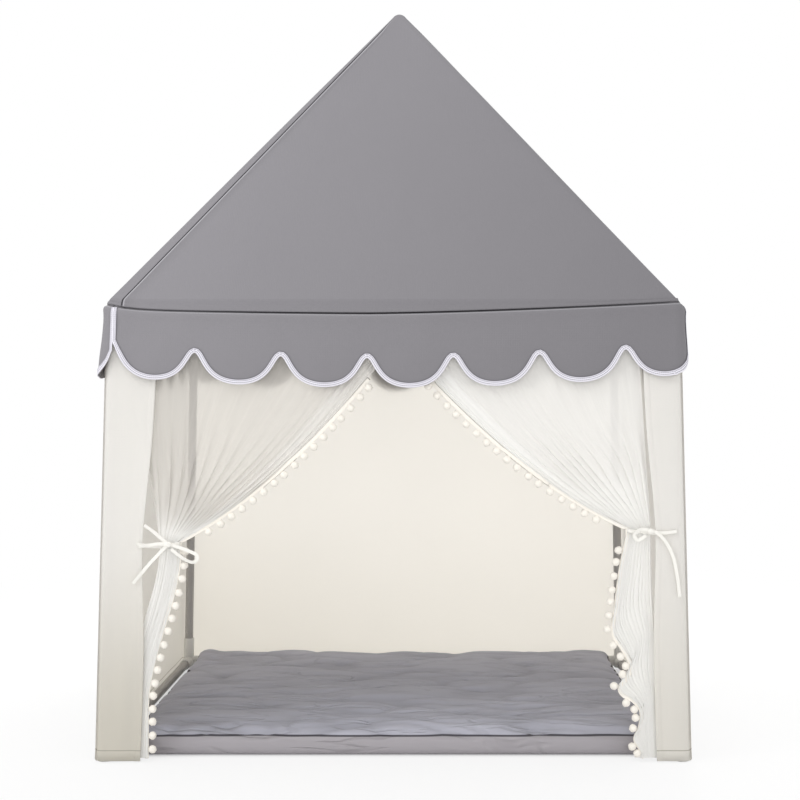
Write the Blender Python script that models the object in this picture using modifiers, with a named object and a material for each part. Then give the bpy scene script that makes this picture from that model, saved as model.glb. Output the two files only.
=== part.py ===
"""Children's play tent: a pole frame under a scalloped pyramid roof, with tied curtains and a mat.

Metres, +Z up. The origin is on the floor under the apex, and the open door faces -Y.
All the cloth is made from one idea: a rounded rectangle that wraps the frame at a given reach
from the pole axes. The walls, the valance and the roof are patches of it.
"""

import math

import bmesh
import bpy
from mathutils import Matrix, Vector

# Overall shape, measured on the outside of the walls
FLOOR_HALF_WIDTH = 0.600
FLOOR_HALF_DEPTH = 0.500
EAVE_INSET = 0.019
EAVE_HEIGHT = 0.924
CROWN_HEIGHT = 1.618

# Poles and the moulded connectors that hold them
POLE_RADIUS = 0.011
POLE_WALL = 0.0016
POLE_SIDES = 16
BORE_CLEARANCE = 0.0003
SLEEVE_WALL = 0.0025
HUB_MARGIN = 0.0008
SLEEVE_STAGGER = 0.0006
SLEEVE_ROLL = 0.07
HUB_TURN = 0.37
SOCKET_START = 0.026
SOCKET_END = 0.062
BASE_HUB_HEIGHT = 0.017
FOOT_RADIUS = 0.0125
FOOT_FLARE = 0.0015

# Cloth thicknesses and the gaps that neighbours keep
SEAT_GAP = 0.0003
SEAM_GAP = 0.0003
WRAP_MARGIN = 0.0006
WALL_THICKNESS = 0.002
ROOF_THICKNESS = 0.0024
CURTAIN_THICKNESS = 0.0016
WALL_TOP_DROP = 0.003
WALL_HEM_HEIGHT = 0.003
WALL_FOLD_DEPTH = 0.0022
WALL_FOLDS = 3
WALL_ROWS = 4
MERGE_DISTANCE = 0.00002
ROOF_SAG = 0.007
EAVE_OVERHANG = 0.018
ROOF_ROWS = (0.12, 0.3, 0.5, 0.7, 0.88, 1.0)
ROOF_TIP_TURNS = (0.45, 0.85)
ROOF_COLUMNS = (-0.67, -0.33, 0.0, 0.33, 0.67)
CROWN_HALF = 0.000001

# Scalloped valance and its bias binding
VALANCE_STANDOFF = 0.0044
VALANCE_TOP_DROP = 0.005
CUSP_HEIGHT = 0.818
SCALLOP_DEPTH = 0.050
SCALLOP_PITCH = 0.173
FIRST_SCALLOP = 0.165
SCALLOP_STEPS = 8
CUSP_SOFTNESS = 0.12
CUSP_POWER = 0.4
BINDING_WIDTH = 0.009
BINDING_PROUD = 0.0008

# Door: the jamb strips' widths from the side of the tent, and the header that carries the curtains
LEFT_JAMB_TOP_WIDTH = 0.126
LEFT_JAMB_FLOOR_WIDTH = 0.092
RIGHT_JAMB_TOP_WIDTH = 0.100
RIGHT_JAMB_FLOOR_WIDTH = 0.070
JAMB_PULL = 0.013
JAMB_PULL_SPREAD = 0.16
LEFT_TIE_HEIGHT = 0.438
RIGHT_TIE_HEIGHT = 0.464
HEADER_BOTTOM = 0.836

# Curtains
HEADING_DROP = 0.018
CURTAIN_HEM_HEIGHT = 0.008
CURTAIN_FOLDS = 3
HEADING_FOLD = 0.0012
TIED_FOLD = 0.0065
HEM_FOLD = 0.0055
CURTAIN_SAG = 0.050
CURTAIN_COLUMNS = 18
CURTAIN_ROWS_ABOVE = 9
CURTAIN_ROWS_BELOW = 8
HEM_OPENING_RATE = 1.3

# Where each curtain is hung, tied and hemmed, measured in from the side of the tent
LEFT_HEADING_INSET = 0.060
LEFT_HEADING_OVERLAP = 0.045
LEFT_TIE_INSET = 0.128
LEFT_TIE_WIDTH = 0.040
LEFT_HEM_INSET = 0.055
LEFT_HEM_WIDTH = 0.045
LEFT_STRAP_INSET = 0.085
LEFT_BOW_INSET = 0.148
RIGHT_HEADING_INSET = 0.110
RIGHT_HEADING_OVERLAP = 0.035
RIGHT_TIE_INSET = 0.084
RIGHT_TIE_WIDTH = 0.042
RIGHT_HEM_INSET = 0.076
RIGHT_HEM_WIDTH = 0.054
RIGHT_STRAP_INSET = 0.028
RIGHT_BOW_INSET = 0.082

# The right curtain hangs in front of the left one where they cross, and its hem edge waves
RIGHT_RUFFLE = 0.030
RUFFLE_WAVES = 1.3
CROSSING_STEP = 0.0075
CROSSING_REACH = 0.13
CROSSING_EASE = 0.10
CROSSING_END = 0.64
CROSSING_FADE = 0.4

# Pom-pom trim along each curtain's inner edge
TRIM_WIDTH = 0.005
TRIM_START_HEIGHT = 0.775
POMPOM_RADIUS = 0.008
POMPOM_PITCH = 0.027
POMPOM_SINK = 0.0035
POMPOM_TIE_CLEARANCE = 0.016

# Ties
TIE_HEIGHT = 0.008
TIE_THICKNESS = 0.0012
TIE_EASE = 0.0022
TIE_SQUARENESS = 0.35
TIE_RING_POINTS = 20
STRAP_HEIGHT = 0.0072
BOW_TAPE_RADIUS = 0.0032
BOW_FLATNESS = 0.42
KNOT_SIZE = (0.0075, 0.0034, 0.006)

# Hand-placed middle lines of the bows' tapes, across and up from each knot
LEFT_TAIL = ((0.0, 0.0), (-0.020, -0.018), (-0.045, -0.046), (-0.068, -0.076))
LEFT_LOOP = ((0.0, 0.0), (0.028, -0.010), (0.050, -0.016), (0.056, -0.028), (0.046, -0.034))
LEFT_STRAND = ((0.0, 0.0), (-0.024, 0.018), (-0.046, 0.036))
RIGHT_TAIL = ((0.0, 0.0), (0.020, -0.014), (0.036, -0.046), (0.046, -0.086), (0.050, -0.122))
RIGHT_LOOP = ((0.0, 0.0), (-0.018, -0.008), (-0.034, -0.022))

# Floor mat, which lies loose between the base rails
MAT_SIDE_CLEARANCE = 0.045
MAT_FRONT_CLEARANCE = 0.034
MAT_BACK_CLEARANCE = 0.038
MAT_THICKNESS = 0.048
MAT_CROWN = 0.007
MAT_CROWN_POWER = 4
MAT_WRINKLE = 0.0014
MAT_WRINKLE_TURNS = (9, 5)
MAT_EDGE_ROLL = 0.012
MAT_EDGE_POWER = 8
MAT_CORNER_PULL = 0.018
MAT_CORNER_POWER = 12
MAT_CELLS = (12, 10, 3)

BORE_RADIUS = POLE_RADIUS + BORE_CLEARANCE
SLEEVE_RADIUS = BORE_RADIUS + SLEEVE_WALL
HUB_RADIUS = SLEEVE_RADIUS + HUB_MARGIN
WRAP_REACH = HUB_RADIUS + WRAP_MARGIN
WALL_REACH = WRAP_REACH + WALL_THICKNESS
VALANCE_REACH = WALL_REACH + VALANCE_STANDOFF
BINDING_THICKNESS = ROOF_THICKNESS + 2 * BINDING_PROUD
VALANCE_TOP = EAVE_HEIGHT - VALANCE_TOP_DROP
WALL_TOP = EAVE_HEIGHT - WALL_TOP_DROP
HEADING_HEIGHT = EAVE_HEIGHT - POLE_RADIUS - HEADING_DROP

FRONT, RIGHT, BACK, LEFT = range(4)
ALONG = (Vector((1, 0, 0)), Vector((0, 1, 0)), Vector((-1, 0, 0)), Vector((0, -1, 0)))
OUTWARD = (Vector((0, -1, 0)), Vector((1, 0, 0)), Vector((0, 1, 0)), Vector((-1, 0, 0)))

parts = None
cutters = None


def reset_scene():
    """Start from an empty scene with one collection for the tent and one for its cutters."""
    global parts, cutters
    for item in list(bpy.data.objects):
        bpy.data.objects.remove(item, do_unlink=True)
    parts = bpy.data.collections.new("play_tent")
    cutters = bpy.data.collections.new("cutters")
    for collection in (parts, cutters):
        bpy.context.scene.collection.children.link(collection)


def make_material(name, colour, roughness, metallic=0.0):
    material = bpy.data.materials.new(name)
    material.use_nodes = True
    shader = material.node_tree.nodes["Principled BSDF"]
    shader.inputs["Base Color"].default_value = (*colour, 1.0)
    shader.inputs["Roughness"].default_value = roughness
    shader.inputs["Metallic"].default_value = metallic
    material.diffuse_color = (*colour, 1.0)
    return material


def add_object(name, mesh, material, smooth_angle=35.0):
    """Link a mesh as a named sub-part."""
    mesh.materials.clear()
    mesh.materials.append(material)
    mesh.shade_smooth()
    mesh.set_sharp_from_angle(angle=math.radians(smooth_angle))
    item = bpy.data.objects.new(name, mesh)
    parts.objects.link(item)
    return item


def mesh_from(bm, name):
    mesh = bpy.data.meshes.new(name)
    bm.to_mesh(mesh)
    bm.free()
    return mesh


def post_x(height):
    """Distance of a corner post's axis from the middle, across the tent."""
    return FLOOR_HALF_WIDTH - WALL_REACH - EAVE_INSET * height / EAVE_HEIGHT


def post_y(height):
    """Distance of a corner post's axis from the middle, front to back."""
    return FLOOR_HALF_DEPTH - WALL_REACH - EAVE_INSET * height / EAVE_HEIGHT


def blend(a, b, t):
    return a + (b - a) * t


def smooth(t):
    t = min(1.0, max(0.0, t))
    return t * t * (3 - 2 * t)


def wrap(side, s, half_x, half_y, height, reach, normals, bend=None):
    """A point of the rounded rectangle round the frame.

    s runs along one side from its middle, at the reach called bend. Past a side's end it turns
    the corner about the pole axis, and a negative s turns the corner before it.
    """
    bend = bend or reach
    halves = (half_x, half_y, half_x, half_y)
    depths = (half_y, half_x, half_y, half_x)
    turn = normals[side].angle(normals[(side + 1) % 4])
    excess = abs(s) - halves[side]
    held = math.copysign(min(abs(s), halves[side]), s)
    point = ALONG[side] * held + OUTWARD[side] * depths[side] + Vector((0, 0, height))
    normal = normals[side]
    if excess > 0:
        neighbour = normals[(side + (1 if s > 0 else -1)) % 4]
        normal = normals[side].slerp(neighbour, min(1.0, excess / (turn * bend)))
    return point + normal * reach


def side_half(side, height):
    return post_x(height) if side in (FRONT, BACK) else post_y(height)


def corner_positions(half, turn, reach, inner):
    """Places along a side: half a corner turn, the straight part, and half a corner turn."""
    end = half + turn * reach / 2 - SEAM_GAP / 2
    middle = half + turn * reach / 4
    return [-end, -middle, -half] + inner + [half, middle, end]


def cloth(name, columns, rows, place, thickness, material, offset=1.0):
    """A sheet: a grid moved by a rule, then given its thickness."""
    bm = bmesh.new()
    bmesh.ops.create_grid(bm, x_segments=columns, y_segments=rows, size=1.0)
    for vert in bm.verts:
        vert.co = place((vert.co.x + 1) / 2, (vert.co.y + 1) / 2)
    bmesh.ops.remove_doubles(bm, verts=bm.verts, dist=MERGE_DISTANCE)
    item = add_object(name, mesh_from(bm, name), material)
    solid = item.modifiers.new("Thickness", "SOLIDIFY")
    solid.thickness = thickness
    solid.offset = offset
    return item


def listed(values, fraction):
    return values[round(fraction * (len(values) - 1))]


def wall_point(side, s, height, reach, bend=None):
    return wrap(side, s, post_x(height), post_y(height), height, reach, OUTWARD, bend)


def make_wall(name, side, material):
    """A side or back wall with shallow upright folds between its two corner posts."""
    divisions = 4 * WALL_FOLDS
    steps = [2 * i / divisions - 1 for i in range(1, divisions)]

    def place(u, v):
        height = blend(WALL_HEM_HEIGHT, WALL_TOP, v)
        half = side_half(side, height)
        s = listed(corner_positions(half, math.pi / 2, WRAP_REACH, [half * k for k in steps]), u)
        ratio = min(1.0, abs(s) / half)
        window = (1 - ratio**4) * math.sin(math.pi * v) ** 0.5
        fold = WALL_FOLD_DEPTH * window * math.sin(math.pi * WALL_FOLDS * s / half) ** 2
        return wall_point(side, s, height, WRAP_REACH) - OUTWARD[side] * fold

    cloth(name, divisions + 4, WALL_ROWS, place, WALL_THICKNESS, material)


def jamb_edge(hand, height):
    """The door edge of a jamb, which its curtain's tie draws towards the corner."""
    if hand < 0:
        top, floor, tie_height = LEFT_JAMB_TOP_WIDTH, LEFT_JAMB_FLOOR_WIDTH, LEFT_TIE_HEIGHT
    else:
        top, floor, tie_height = RIGHT_JAMB_TOP_WIDTH, RIGHT_JAMB_FLOOR_WIDTH, RIGHT_TIE_HEIGHT
    pull = JAMB_PULL * math.exp(-(((height - tie_height) / JAMB_PULL_SPREAD) ** 2))
    return FLOOR_HALF_WIDTH - blend(floor, top, height / WALL_TOP) + pull


def make_jamb(name, hand, material):
    """A narrow front strip from the corner seam to the edge of the door."""

    def place(u, v):
        height = blend(WALL_HEM_HEIGHT, WALL_TOP, v)
        half = post_x(height)
        edge = jamb_edge(hand, height)
        arc = math.pi / 2 * WRAP_REACH
        inner = [blend(edge, half, k) for k in (0.0, 0.33, 0.67)]
        reached = inner + [half, half + arc / 4, half + arc / 2 - SEAM_GAP / 2]
        s = listed(reached, u if hand > 0 else 1 - u)
        return wall_point(FRONT, hand * s, height, WRAP_REACH)

    cloth(name, 5, 8, place, WALL_THICKNESS, material)


def make_header(material):
    """The strip behind the front valance that joins the jambs and carries the curtains."""

    def place(u, v):
        height = blend(HEADER_BOTTOM, WALL_TOP, v)
        left = SEAM_GAP - jamb_edge(-1, height)
        right = jamb_edge(1, height) - SEAM_GAP
        return wall_point(FRONT, blend(left, right, u), height, WRAP_REACH)

    cloth("front_header", 4, 1, place, WALL_THICKNESS, material)


def scallop(distance):
    """Height of the valance's lower edge, at a distance along it from its left seam."""
    phase = math.sin(math.pi * (distance - FIRST_SCALLOP) / SCALLOP_PITCH)
    low = CUSP_SOFTNESS ** (2 * CUSP_POWER)
    full = (1 + CUSP_SOFTNESS**2) ** CUSP_POWER - low
    share = ((phase * phase + CUSP_SOFTNESS**2) ** CUSP_POWER - low) / full
    return CUSP_HEIGHT - SCALLOP_DEPTH * share


def scallop_distances(length):
    """Places along a valance, with one on each cusp and an even count in each lobe."""
    step = SCALLOP_PITCH / SCALLOP_STEPS
    first = FIRST_SCALLOP - math.floor(FIRST_SCALLOP / step) * step
    count = math.floor((length - first) / step)
    inside = [first + i * step for i in range(count + 1)]
    kept = [d for d in inside if step / 3 < d < length - step / 3]
    return [0.0] + kept + [length]


def valance_length(side, height=VALANCE_TOP):
    """Length of a valance panel between its corner seams, which grows as the posts lean out."""
    turn = math.pi / 2 * VALANCE_REACH
    return 2 * side_half(side, height) + turn - SEAM_GAP


def valance_point(side, distance, length, height, reach):
    stretch = valance_length(side, height) / length
    return wall_point(side, (distance - length / 2) * stretch, height, reach, VALANCE_REACH)


def scallop_slope(distance):
    small = 0.0005
    return (scallop(distance + small) - scallop(distance - small)) / (2 * small)


def offset_edge(length, distances, inset):
    """The valance's free edge moved inwards: down its left seam slit, then along the scallops."""
    edge = []
    for distance in distances[1:-1]:
        slope = scallop_slope(distance)
        scale = inset / math.hypot(1.0, slope)
        edge.append((distance - slope * scale, scallop(distance) + scale))
    ends = [
        (place, scallop(place) + inset * math.hypot(1.0, scallop_slope(place)))
        for place in (inset, length)
    ]
    return [(inset, VALANCE_TOP), ends[0]] + edge + [ends[1]]


def make_valance(name, side, material, binding_material):
    """One scalloped side of the valance, and the bias binding along its free edges."""
    length = valance_length(side)
    distances = scallop_distances(length)
    outer = [(0.0, VALANCE_TOP)] + [(d, scallop(d)) for d in distances]
    seam = offset_edge(length, distances, BINDING_WIDTH)
    panel = offset_edge(length, distances, BINDING_WIDTH + SEAM_GAP)[1:]

    def place_panel(u, v):
        distance, low = listed(panel, u)
        height = blend(low, VALANCE_TOP, v)
        return valance_point(side, distance, length, height, VALANCE_REACH)

    cloth(name, len(panel) - 1, 1, place_panel, ROOF_THICKNESS, material)

    def place_binding(u, v):
        distance, height = listed(outer if v < 0.5 else seam, u)
        return valance_point(side, distance, length, height, VALANCE_REACH - BINDING_PROUD)

    binding_name = name.replace("valance", "valance_binding")
    cloth(binding_name, len(outer) - 1, 1, place_binding, BINDING_THICKNESS, binding_material)


def roof_normals():
    rise = CROWN_HEIGHT - EAVE_HEIGHT
    normals = []
    for side in range(4):
        run = post_y(EAVE_HEIGHT) if side in (FRONT, BACK) else post_x(EAVE_HEIGHT)
        normals.append((OUTWARD[side] * rise + Vector((0, 0, run))).normalized())
    return normals


def make_roof_panel(name, side, material):
    """One triangular roof panel, rounded over its two rafters and closed over the crown."""
    normals = roof_normals()
    turn = normals[FRONT].angle(normals[RIGHT])
    crown = Vector((0, 0, CROWN_HEIGHT))
    slopes = [(t, 0.0) for t in (-EAVE_OVERHANG, *ROOF_ROWS)]
    rows = slopes + [(1.0, closing) for closing in ROOF_TIP_TURNS]

    def place(u, v):
        t, closing = listed(rows, v)
        half_x = max(post_x(EAVE_HEIGHT) * (1 - t), CROWN_HALF)
        half_y = max(post_y(EAVE_HEIGHT) * (1 - t), CROWN_HALF)
        half = half_x if side in (FRONT, BACK) else half_y
        height = blend(EAVE_HEIGHT, CROWN_HEIGHT, t)
        s = listed(corner_positions(half, turn, WRAP_REACH, [half * k for k in ROOF_COLUMNS]), u)
        point = wrap(side, s, half_x, half_y, height, WRAP_REACH, normals)
        if closing:
            direction = (point - crown).normalized()
            return crown + direction.slerp(Vector((0, 0, 1)), closing) * WRAP_REACH
        ratio = min(1.0, abs(s) / half)
        sag = ROOF_SAG * (1 - ratio * ratio) * math.sin(math.pi * max(t, 0.0)) ** 0.8
        return point - normals[side] * sag

    cloth(name, len(ROOF_COLUMNS) + 5, len(rows) - 1, place, ROOF_THICKNESS, material)


def rod_mesh(start, end, radius, sides=POLE_SIDES, end_radius=None, roll=0.0, capped=True):
    """A round bar between two points."""
    axis = end - start
    bm = bmesh.new()
    turn = axis.to_track_quat("Z", "Y").to_matrix().to_4x4() @ Matrix.Rotation(roll, 4, "Z")
    matrix = Matrix.Translation((start + end) / 2) @ turn
    bmesh.ops.create_cone(
        bm,
        cap_ends=capped,
        segments=sides,
        radius1=radius,
        radius2=radius if end_radius is None else end_radius,
        depth=axis.length,
        matrix=matrix,
    )
    return mesh_from(bm, "rod")


def combine(item, mesh, operation):
    """Join or cut an object with another solid, and keep the result as its mesh."""
    tool = bpy.data.objects.new("tool", mesh)
    tool.hide_render = True
    tool.display_type = "WIRE"
    cutters.objects.link(tool)
    step = item.modifiers.new("Shape", "BOOLEAN")
    step.operation = operation
    step.object = tool
    graph = bpy.context.evaluated_depsgraph_get()
    shaped = bpy.data.meshes.new_from_object(item.evaluated_get(graph))
    item.modifiers.remove(step)
    item.data = shaped
    bpy.data.objects.remove(tool, do_unlink=True)


def frame_hubs():
    """The nine points where pole axes meet."""
    hubs = {"crown": Vector((0, 0, CROWN_HEIGHT))}
    for depth, sy in (("front", -1), ("back", 1)):
        for hand, sx in (("left", -1), ("right", 1)):
            for level, height in (("base", BASE_HUB_HEIGHT), ("eave", EAVE_HEIGHT)):
                place = (sx * post_x(height), sy * post_y(height), height)
                hubs[f"{depth}_{hand}_{level}"] = Vector(place)
    return hubs


def frame_members():
    """Each pole's name and the two hubs that it joins."""
    members = {
        "front_eave_rail": ("front_left_eave", "front_right_eave"),
        "back_eave_rail": ("back_left_eave", "back_right_eave"),
        "back_base_rail": ("back_left_base", "back_right_base"),
    }
    for hand in ("left", "right"):
        members[f"{hand}_eave_rail"] = (f"front_{hand}_eave", f"back_{hand}_eave")
        members[f"{hand}_base_rail"] = (f"front_{hand}_base", f"back_{hand}_base")
        for depth in ("front", "back"):
            corner = f"{depth}_{hand}"
            members[f"{corner}_post"] = (f"{corner}_base", f"{corner}_eave")
            members[f"{corner}_rafter"] = (f"{corner}_eave", "crown")
    return members


def make_pole(name, start, end, material):
    """A tube that reaches to the bottom of the sockets at both of its ends."""
    inset = (end - start).normalized() * (SOCKET_START + SEAT_GAP)
    mesh = rod_mesh(start + inset, end - inset, POLE_RADIUS, capped=False)
    item = add_object(name, mesh, material)
    wall = item.modifiers.new("Wall", "SOLIDIFY")
    wall.thickness = POLE_WALL
    wall.offset = -1.0


def make_connector(name, hub, directions, material):
    """A ball with a sleeve for each pole, bored blind; a base connector also has a foot."""
    bm = bmesh.new()
    place = Matrix.Translation(hub) @ Matrix.Rotation(HUB_TURN, 4, Vector((1, 2, 3)))
    bmesh.ops.create_uvsphere(bm, u_segments=14, v_segments=9, radius=HUB_RADIUS, matrix=place)
    item = add_object(name, mesh_from(bm, name), material)
    if "base" in name:
        floor_point = Vector((hub.x, hub.y, 0))
        top = hub - Vector((0, 0, SLEEVE_STAGGER))
        combine(item, rod_mesh(floor_point, top, FOOT_RADIUS + FOOT_FLARE, 20, FOOT_RADIUS), "UNION")
    for count, direction in enumerate(directions, 1):
        start = hub + direction * SLEEVE_STAGGER * count
        end = hub + direction * SOCKET_END
        combine(item, rod_mesh(start, end, SLEEVE_RADIUS, roll=SLEEVE_ROLL * count), "UNION")
    for direction in directions:
        start = hub + direction * SOCKET_START
        end = hub + direction * (SOCKET_END + SLEEVE_RADIUS)
        combine(item, rod_mesh(start, end, BORE_RADIUS), "DIFFERENCE")
    item.data.shade_smooth()
    item.data.set_sharp_from_angle(angle=math.radians(35))


def make_frame(pole_material, connector_material):
    hubs = frame_hubs()
    members = frame_members()
    directions = {name: [] for name in hubs}
    for name, (first, second) in members.items():
        axis = (hubs[second] - hubs[first]).normalized()
        directions[first].append(axis)
        directions[second].append(-axis)
        make_pole(name, hubs[first], hubs[second], pole_material)
    for name, hub in hubs.items():
        make_connector(f"{name}_connector", hub, directions[name], connector_material)


class Curtain:
    """One tied-back curtain: a sheet gathered from its heading to its tie, open below it.

    hand is -1 for the left curtain and 1 for the right. Distances across are from the
    middle of the door, positive towards the curtain's own jamb.
    """

    def __init__(self, name, hand, tie_height, step=0.0):
        self.name = name
        self.hand = hand
        self.tie_height = tie_height
        self.step = step

    def hang(self, inset, overlap):
        """Set the heading, which runs past the middle of the door."""
        self.heading = (FLOOR_HALF_WIDTH - inset, -overlap)

    def gather(self, inset, width):
        """Set the waist that the tie holds."""
        self.tie = (FLOOR_HALF_WIDTH - inset, FLOOR_HALF_WIDTH - inset - width)

    def finish(self, inset, width, ruffle):
        """Set the hem, and how far its inner edge waves."""
        self.hem = (FLOOR_HALF_WIDTH - inset, FLOOR_HALF_WIDTH - inset - width)
        self.ruffle = ruffle

    def fold(self, u, depth):
        """Depth of the pleats, which end in a flat band along the inner edge."""
        pleated = min(1.0, u / (1 - 1 / CURTAIN_COLUMNS))
        return -depth * math.cos(2 * math.pi * CURTAIN_FOLDS * pleated)

    def point(self, u, below, t):
        """u runs from the outer edge to the inner edge, and t down each half of the curtain."""
        if below:
            opened = smooth(t * HEM_OPENING_RATE)
            across = blend(blend(*self.tie, u), blend(*self.hem, u), opened)
            across -= self.ruffle * u**3 * t * math.sin(2 * math.pi * RUFFLE_WAVES * t)
            height = blend(self.tie_height - TIE_HEIGHT, CURTAIN_HEM_HEIGHT, t)
            depth = blend(TIED_FOLD, HEM_FOLD, t)
            crossing = 0.0
        else:
            across = blend(blend(*self.heading, u), blend(*self.tie, u), t)
            height = blend(HEADING_HEIGHT, self.tie_height + TIE_HEIGHT, t)
            height -= CURTAIN_SAG * u * u * 4 * t * (1 - t)
            depth = blend(HEADING_FOLD, TIED_FOLD, smooth(t))
            crossing = smooth((CROSSING_REACH - across) / CROSSING_EASE)
            crossing *= smooth((CROSSING_END - t) / CROSSING_FADE)
        plane = post_y(height) + WRAP_REACH - SEAT_GAP - CURTAIN_THICKNESS / 2 - depth
        y = -(plane + self.fold(u, depth)) + self.step * crossing
        return Vector((self.hand * across, y, height))

    def rows(self):
        """The rows of the sheet, from the heading down, with a short waist at the tie."""
        above = [(False, i / CURTAIN_ROWS_ABOVE) for i in range(CURTAIN_ROWS_ABOVE + 1)]
        return above + [(True, i / CURTAIN_ROWS_BELOW) for i in range(CURTAIN_ROWS_BELOW + 1)]


def make_curtain(curtain, material):
    rows = curtain.rows()[::-1]

    def place(u, v):
        across = 1 - u if curtain.hand > 0 else u
        return curtain.point(across, *listed(rows, v))

    cloth(curtain.name, CURTAIN_COLUMNS, len(rows) - 1, place, CURTAIN_THICKNESS, material, 0.0)


def trim_rows(curtain):
    """Places down the curtain's inner edge, each with the direction away from the curtain."""
    edge = [curtain.point(1.0, *row) for row in curtain.rows()]
    rows = []
    for index in range(1, len(edge) - 1):
        if edge[index].z > TRIM_START_HEIGHT:
            continue
        tangent = edge[index + 1] - edge[index - 1]
        away = Vector((curtain.hand * tangent.z, 0, -curtain.hand * tangent.x)).normalized()
        rows.append((edge[index], away))
    final = edge[-1] - edge[-2]
    away = Vector((curtain.hand * final.z, 0, -curtain.hand * final.x)).normalized()
    rows.append((edge[-1], away))
    return rows


def pompom_places(curtain, rows):
    """Centres of the pom-poms, evenly spaced along the tape and kept clear of the tie."""
    reach = SEAT_GAP + TRIM_WIDTH + POMPOM_RADIUS - POMPOM_SINK
    places = []
    waiting = POMPOM_PITCH / 2
    for (start, start_away), (end, end_away) in zip(rows, rows[1:]):
        length = (end - start).length
        while waiting < length:
            along = waiting / length
            centre = start.lerp(end, along) + start_away.lerp(end_away, along) * reach
            clear = abs(centre.z - curtain.tie_height) > POMPOM_TIE_CLEARANCE
            if clear and centre.z > POMPOM_RADIUS + CURTAIN_HEM_HEIGHT / 2:
                places.append(centre)
            waiting += POMPOM_PITCH
        waiting -= length
    return places


def make_trim(curtain, material):
    """The tape sewn to the inner edge, with a row of pom-poms fused to it."""
    rows = trim_rows(curtain)

    def place(u, v):
        point, away = listed(rows[::-1], v)
        side = u if curtain.hand < 0 else 1 - u
        return point + away * blend(SEAT_GAP, SEAT_GAP + TRIM_WIDTH, side)

    name = curtain.name.replace("curtain", "pompom_trim")
    item = cloth(name, 1, len(rows) - 1, place, CURTAIN_THICKNESS, material, 0.0)
    graph = bpy.context.evaluated_depsgraph_get()
    item.data = bpy.data.meshes.new_from_object(item.evaluated_get(graph))
    item.modifiers.clear()
    for centre in pompom_places(curtain, rows):
        bm = bmesh.new()
        ball = Matrix.Translation(centre)
        bmesh.ops.create_icosphere(bm, subdivisions=1, radius=POMPOM_RADIUS, matrix=ball)
        combine(item, mesh_from(bm, "pompom"), "UNION")


def make_tie(curtain, strap_inset, material):
    """The tape round the gathered curtain, with its end lapped over the jamb."""
    outer = curtain.tie[0]
    inner = curtain.tie[1] - TRIM_WIDTH - SEAT_GAP
    room = SEAT_GAP + TIE_THICKNESS / 2
    depth = TIED_FOLD + CURTAIN_THICKNESS / 2
    height = curtain.tie_height
    plane = post_y(height) + WRAP_REACH - SEAT_GAP - depth
    middle = Vector((curtain.hand * (outer + inner) / 2, -plane, height))
    half_width = abs(outer - inner) / 2 + room + TIE_EASE
    back_depth = depth + room + TIE_EASE
    front = post_y(height) + WALL_REACH + SEAT_GAP + TIE_THICKNESS / 2
    bm = bmesh.new()
    count = TIE_RING_POINTS
    ring = []
    for i in range(count):
        angle = 2 * math.pi * i / count
        x = math.copysign(abs(math.cos(angle)) ** TIE_SQUARENESS, math.cos(angle)) * half_width
        reach = back_depth if i < count / 2 else front - plane
        y = math.copysign(abs(math.sin(angle)) ** TIE_SQUARENESS, math.sin(angle)) * reach
        ring.append(bm.verts.new(middle + Vector((x, y, -TIE_HEIGHT / 2))))
    edges = [bm.edges.new((ring[i], ring[(i + 1) % count])) for i in range(count)]
    raised = bmesh.ops.extrude_edge_only(bm, edges=edges)
    moved = [v for v in raised["geom"] if isinstance(v, bmesh.types.BMVert)]
    bmesh.ops.translate(bm, verts=moved, vec=(0, 0, TIE_HEIGHT))
    bmesh.ops.recalc_face_normals(bm, faces=bm.faces)
    name = curtain.name.replace("curtain", "tie")
    item = add_object(name, mesh_from(bm, name), material)
    solid = item.modifiers.new("Thickness", "SOLIDIFY")
    solid.thickness = TIE_THICKNESS
    solid.offset = 0.0
    graph = bpy.context.evaluated_depsgraph_get()
    item.data = bpy.data.meshes.new_from_object(item.evaluated_get(graph))
    item.modifiers.clear()
    near = middle.x
    far = curtain.hand * (FLOOR_HALF_WIDTH - strap_inset)
    strap = bmesh.new()
    size = (abs(far - near), TIE_THICKNESS, STRAP_HEIGHT)
    place = Matrix.Translation(((near + far) / 2, -front, height)) @ Matrix.Diagonal((*size, 1))
    bmesh.ops.create_cube(strap, size=1.0, matrix=place)
    combine(item, mesh_from(strap, "strap"), "UNION")


def tape_mesh(points, plane):
    """A flattened tape along hand-placed points in one upright plane."""
    curve = bpy.data.curves.new("tape", "CURVE")
    curve.dimensions = "3D"
    curve.bevel_depth = BOW_TAPE_RADIUS
    curve.bevel_resolution = 1
    curve.use_fill_caps = True
    spline = curve.splines.new("POLY")
    spline.points.add(len(points) - 1)
    for target, (x, z) in zip(spline.points, points):
        target.co = (x, 0.0, z, 1.0)
    item = bpy.data.objects.new("tape", curve)
    cutters.objects.link(item)
    graph = bpy.context.evaluated_depsgraph_get()
    mesh = bpy.data.meshes.new_from_object(item.evaluated_get(graph))
    bpy.data.objects.remove(item, do_unlink=True)
    bm = bmesh.new()
    bm.from_mesh(mesh)
    bmesh.ops.remove_doubles(bm, verts=bm.verts, dist=0.00005)
    bmesh.ops.scale(bm, verts=bm.verts, vec=(1, BOW_FLATNESS, 1))
    bmesh.ops.translate(bm, verts=bm.verts, vec=(0, plane, 0))
    bmesh.ops.recalc_face_normals(bm, faces=bm.faces)
    return mesh_from(bm, "tape")


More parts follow.
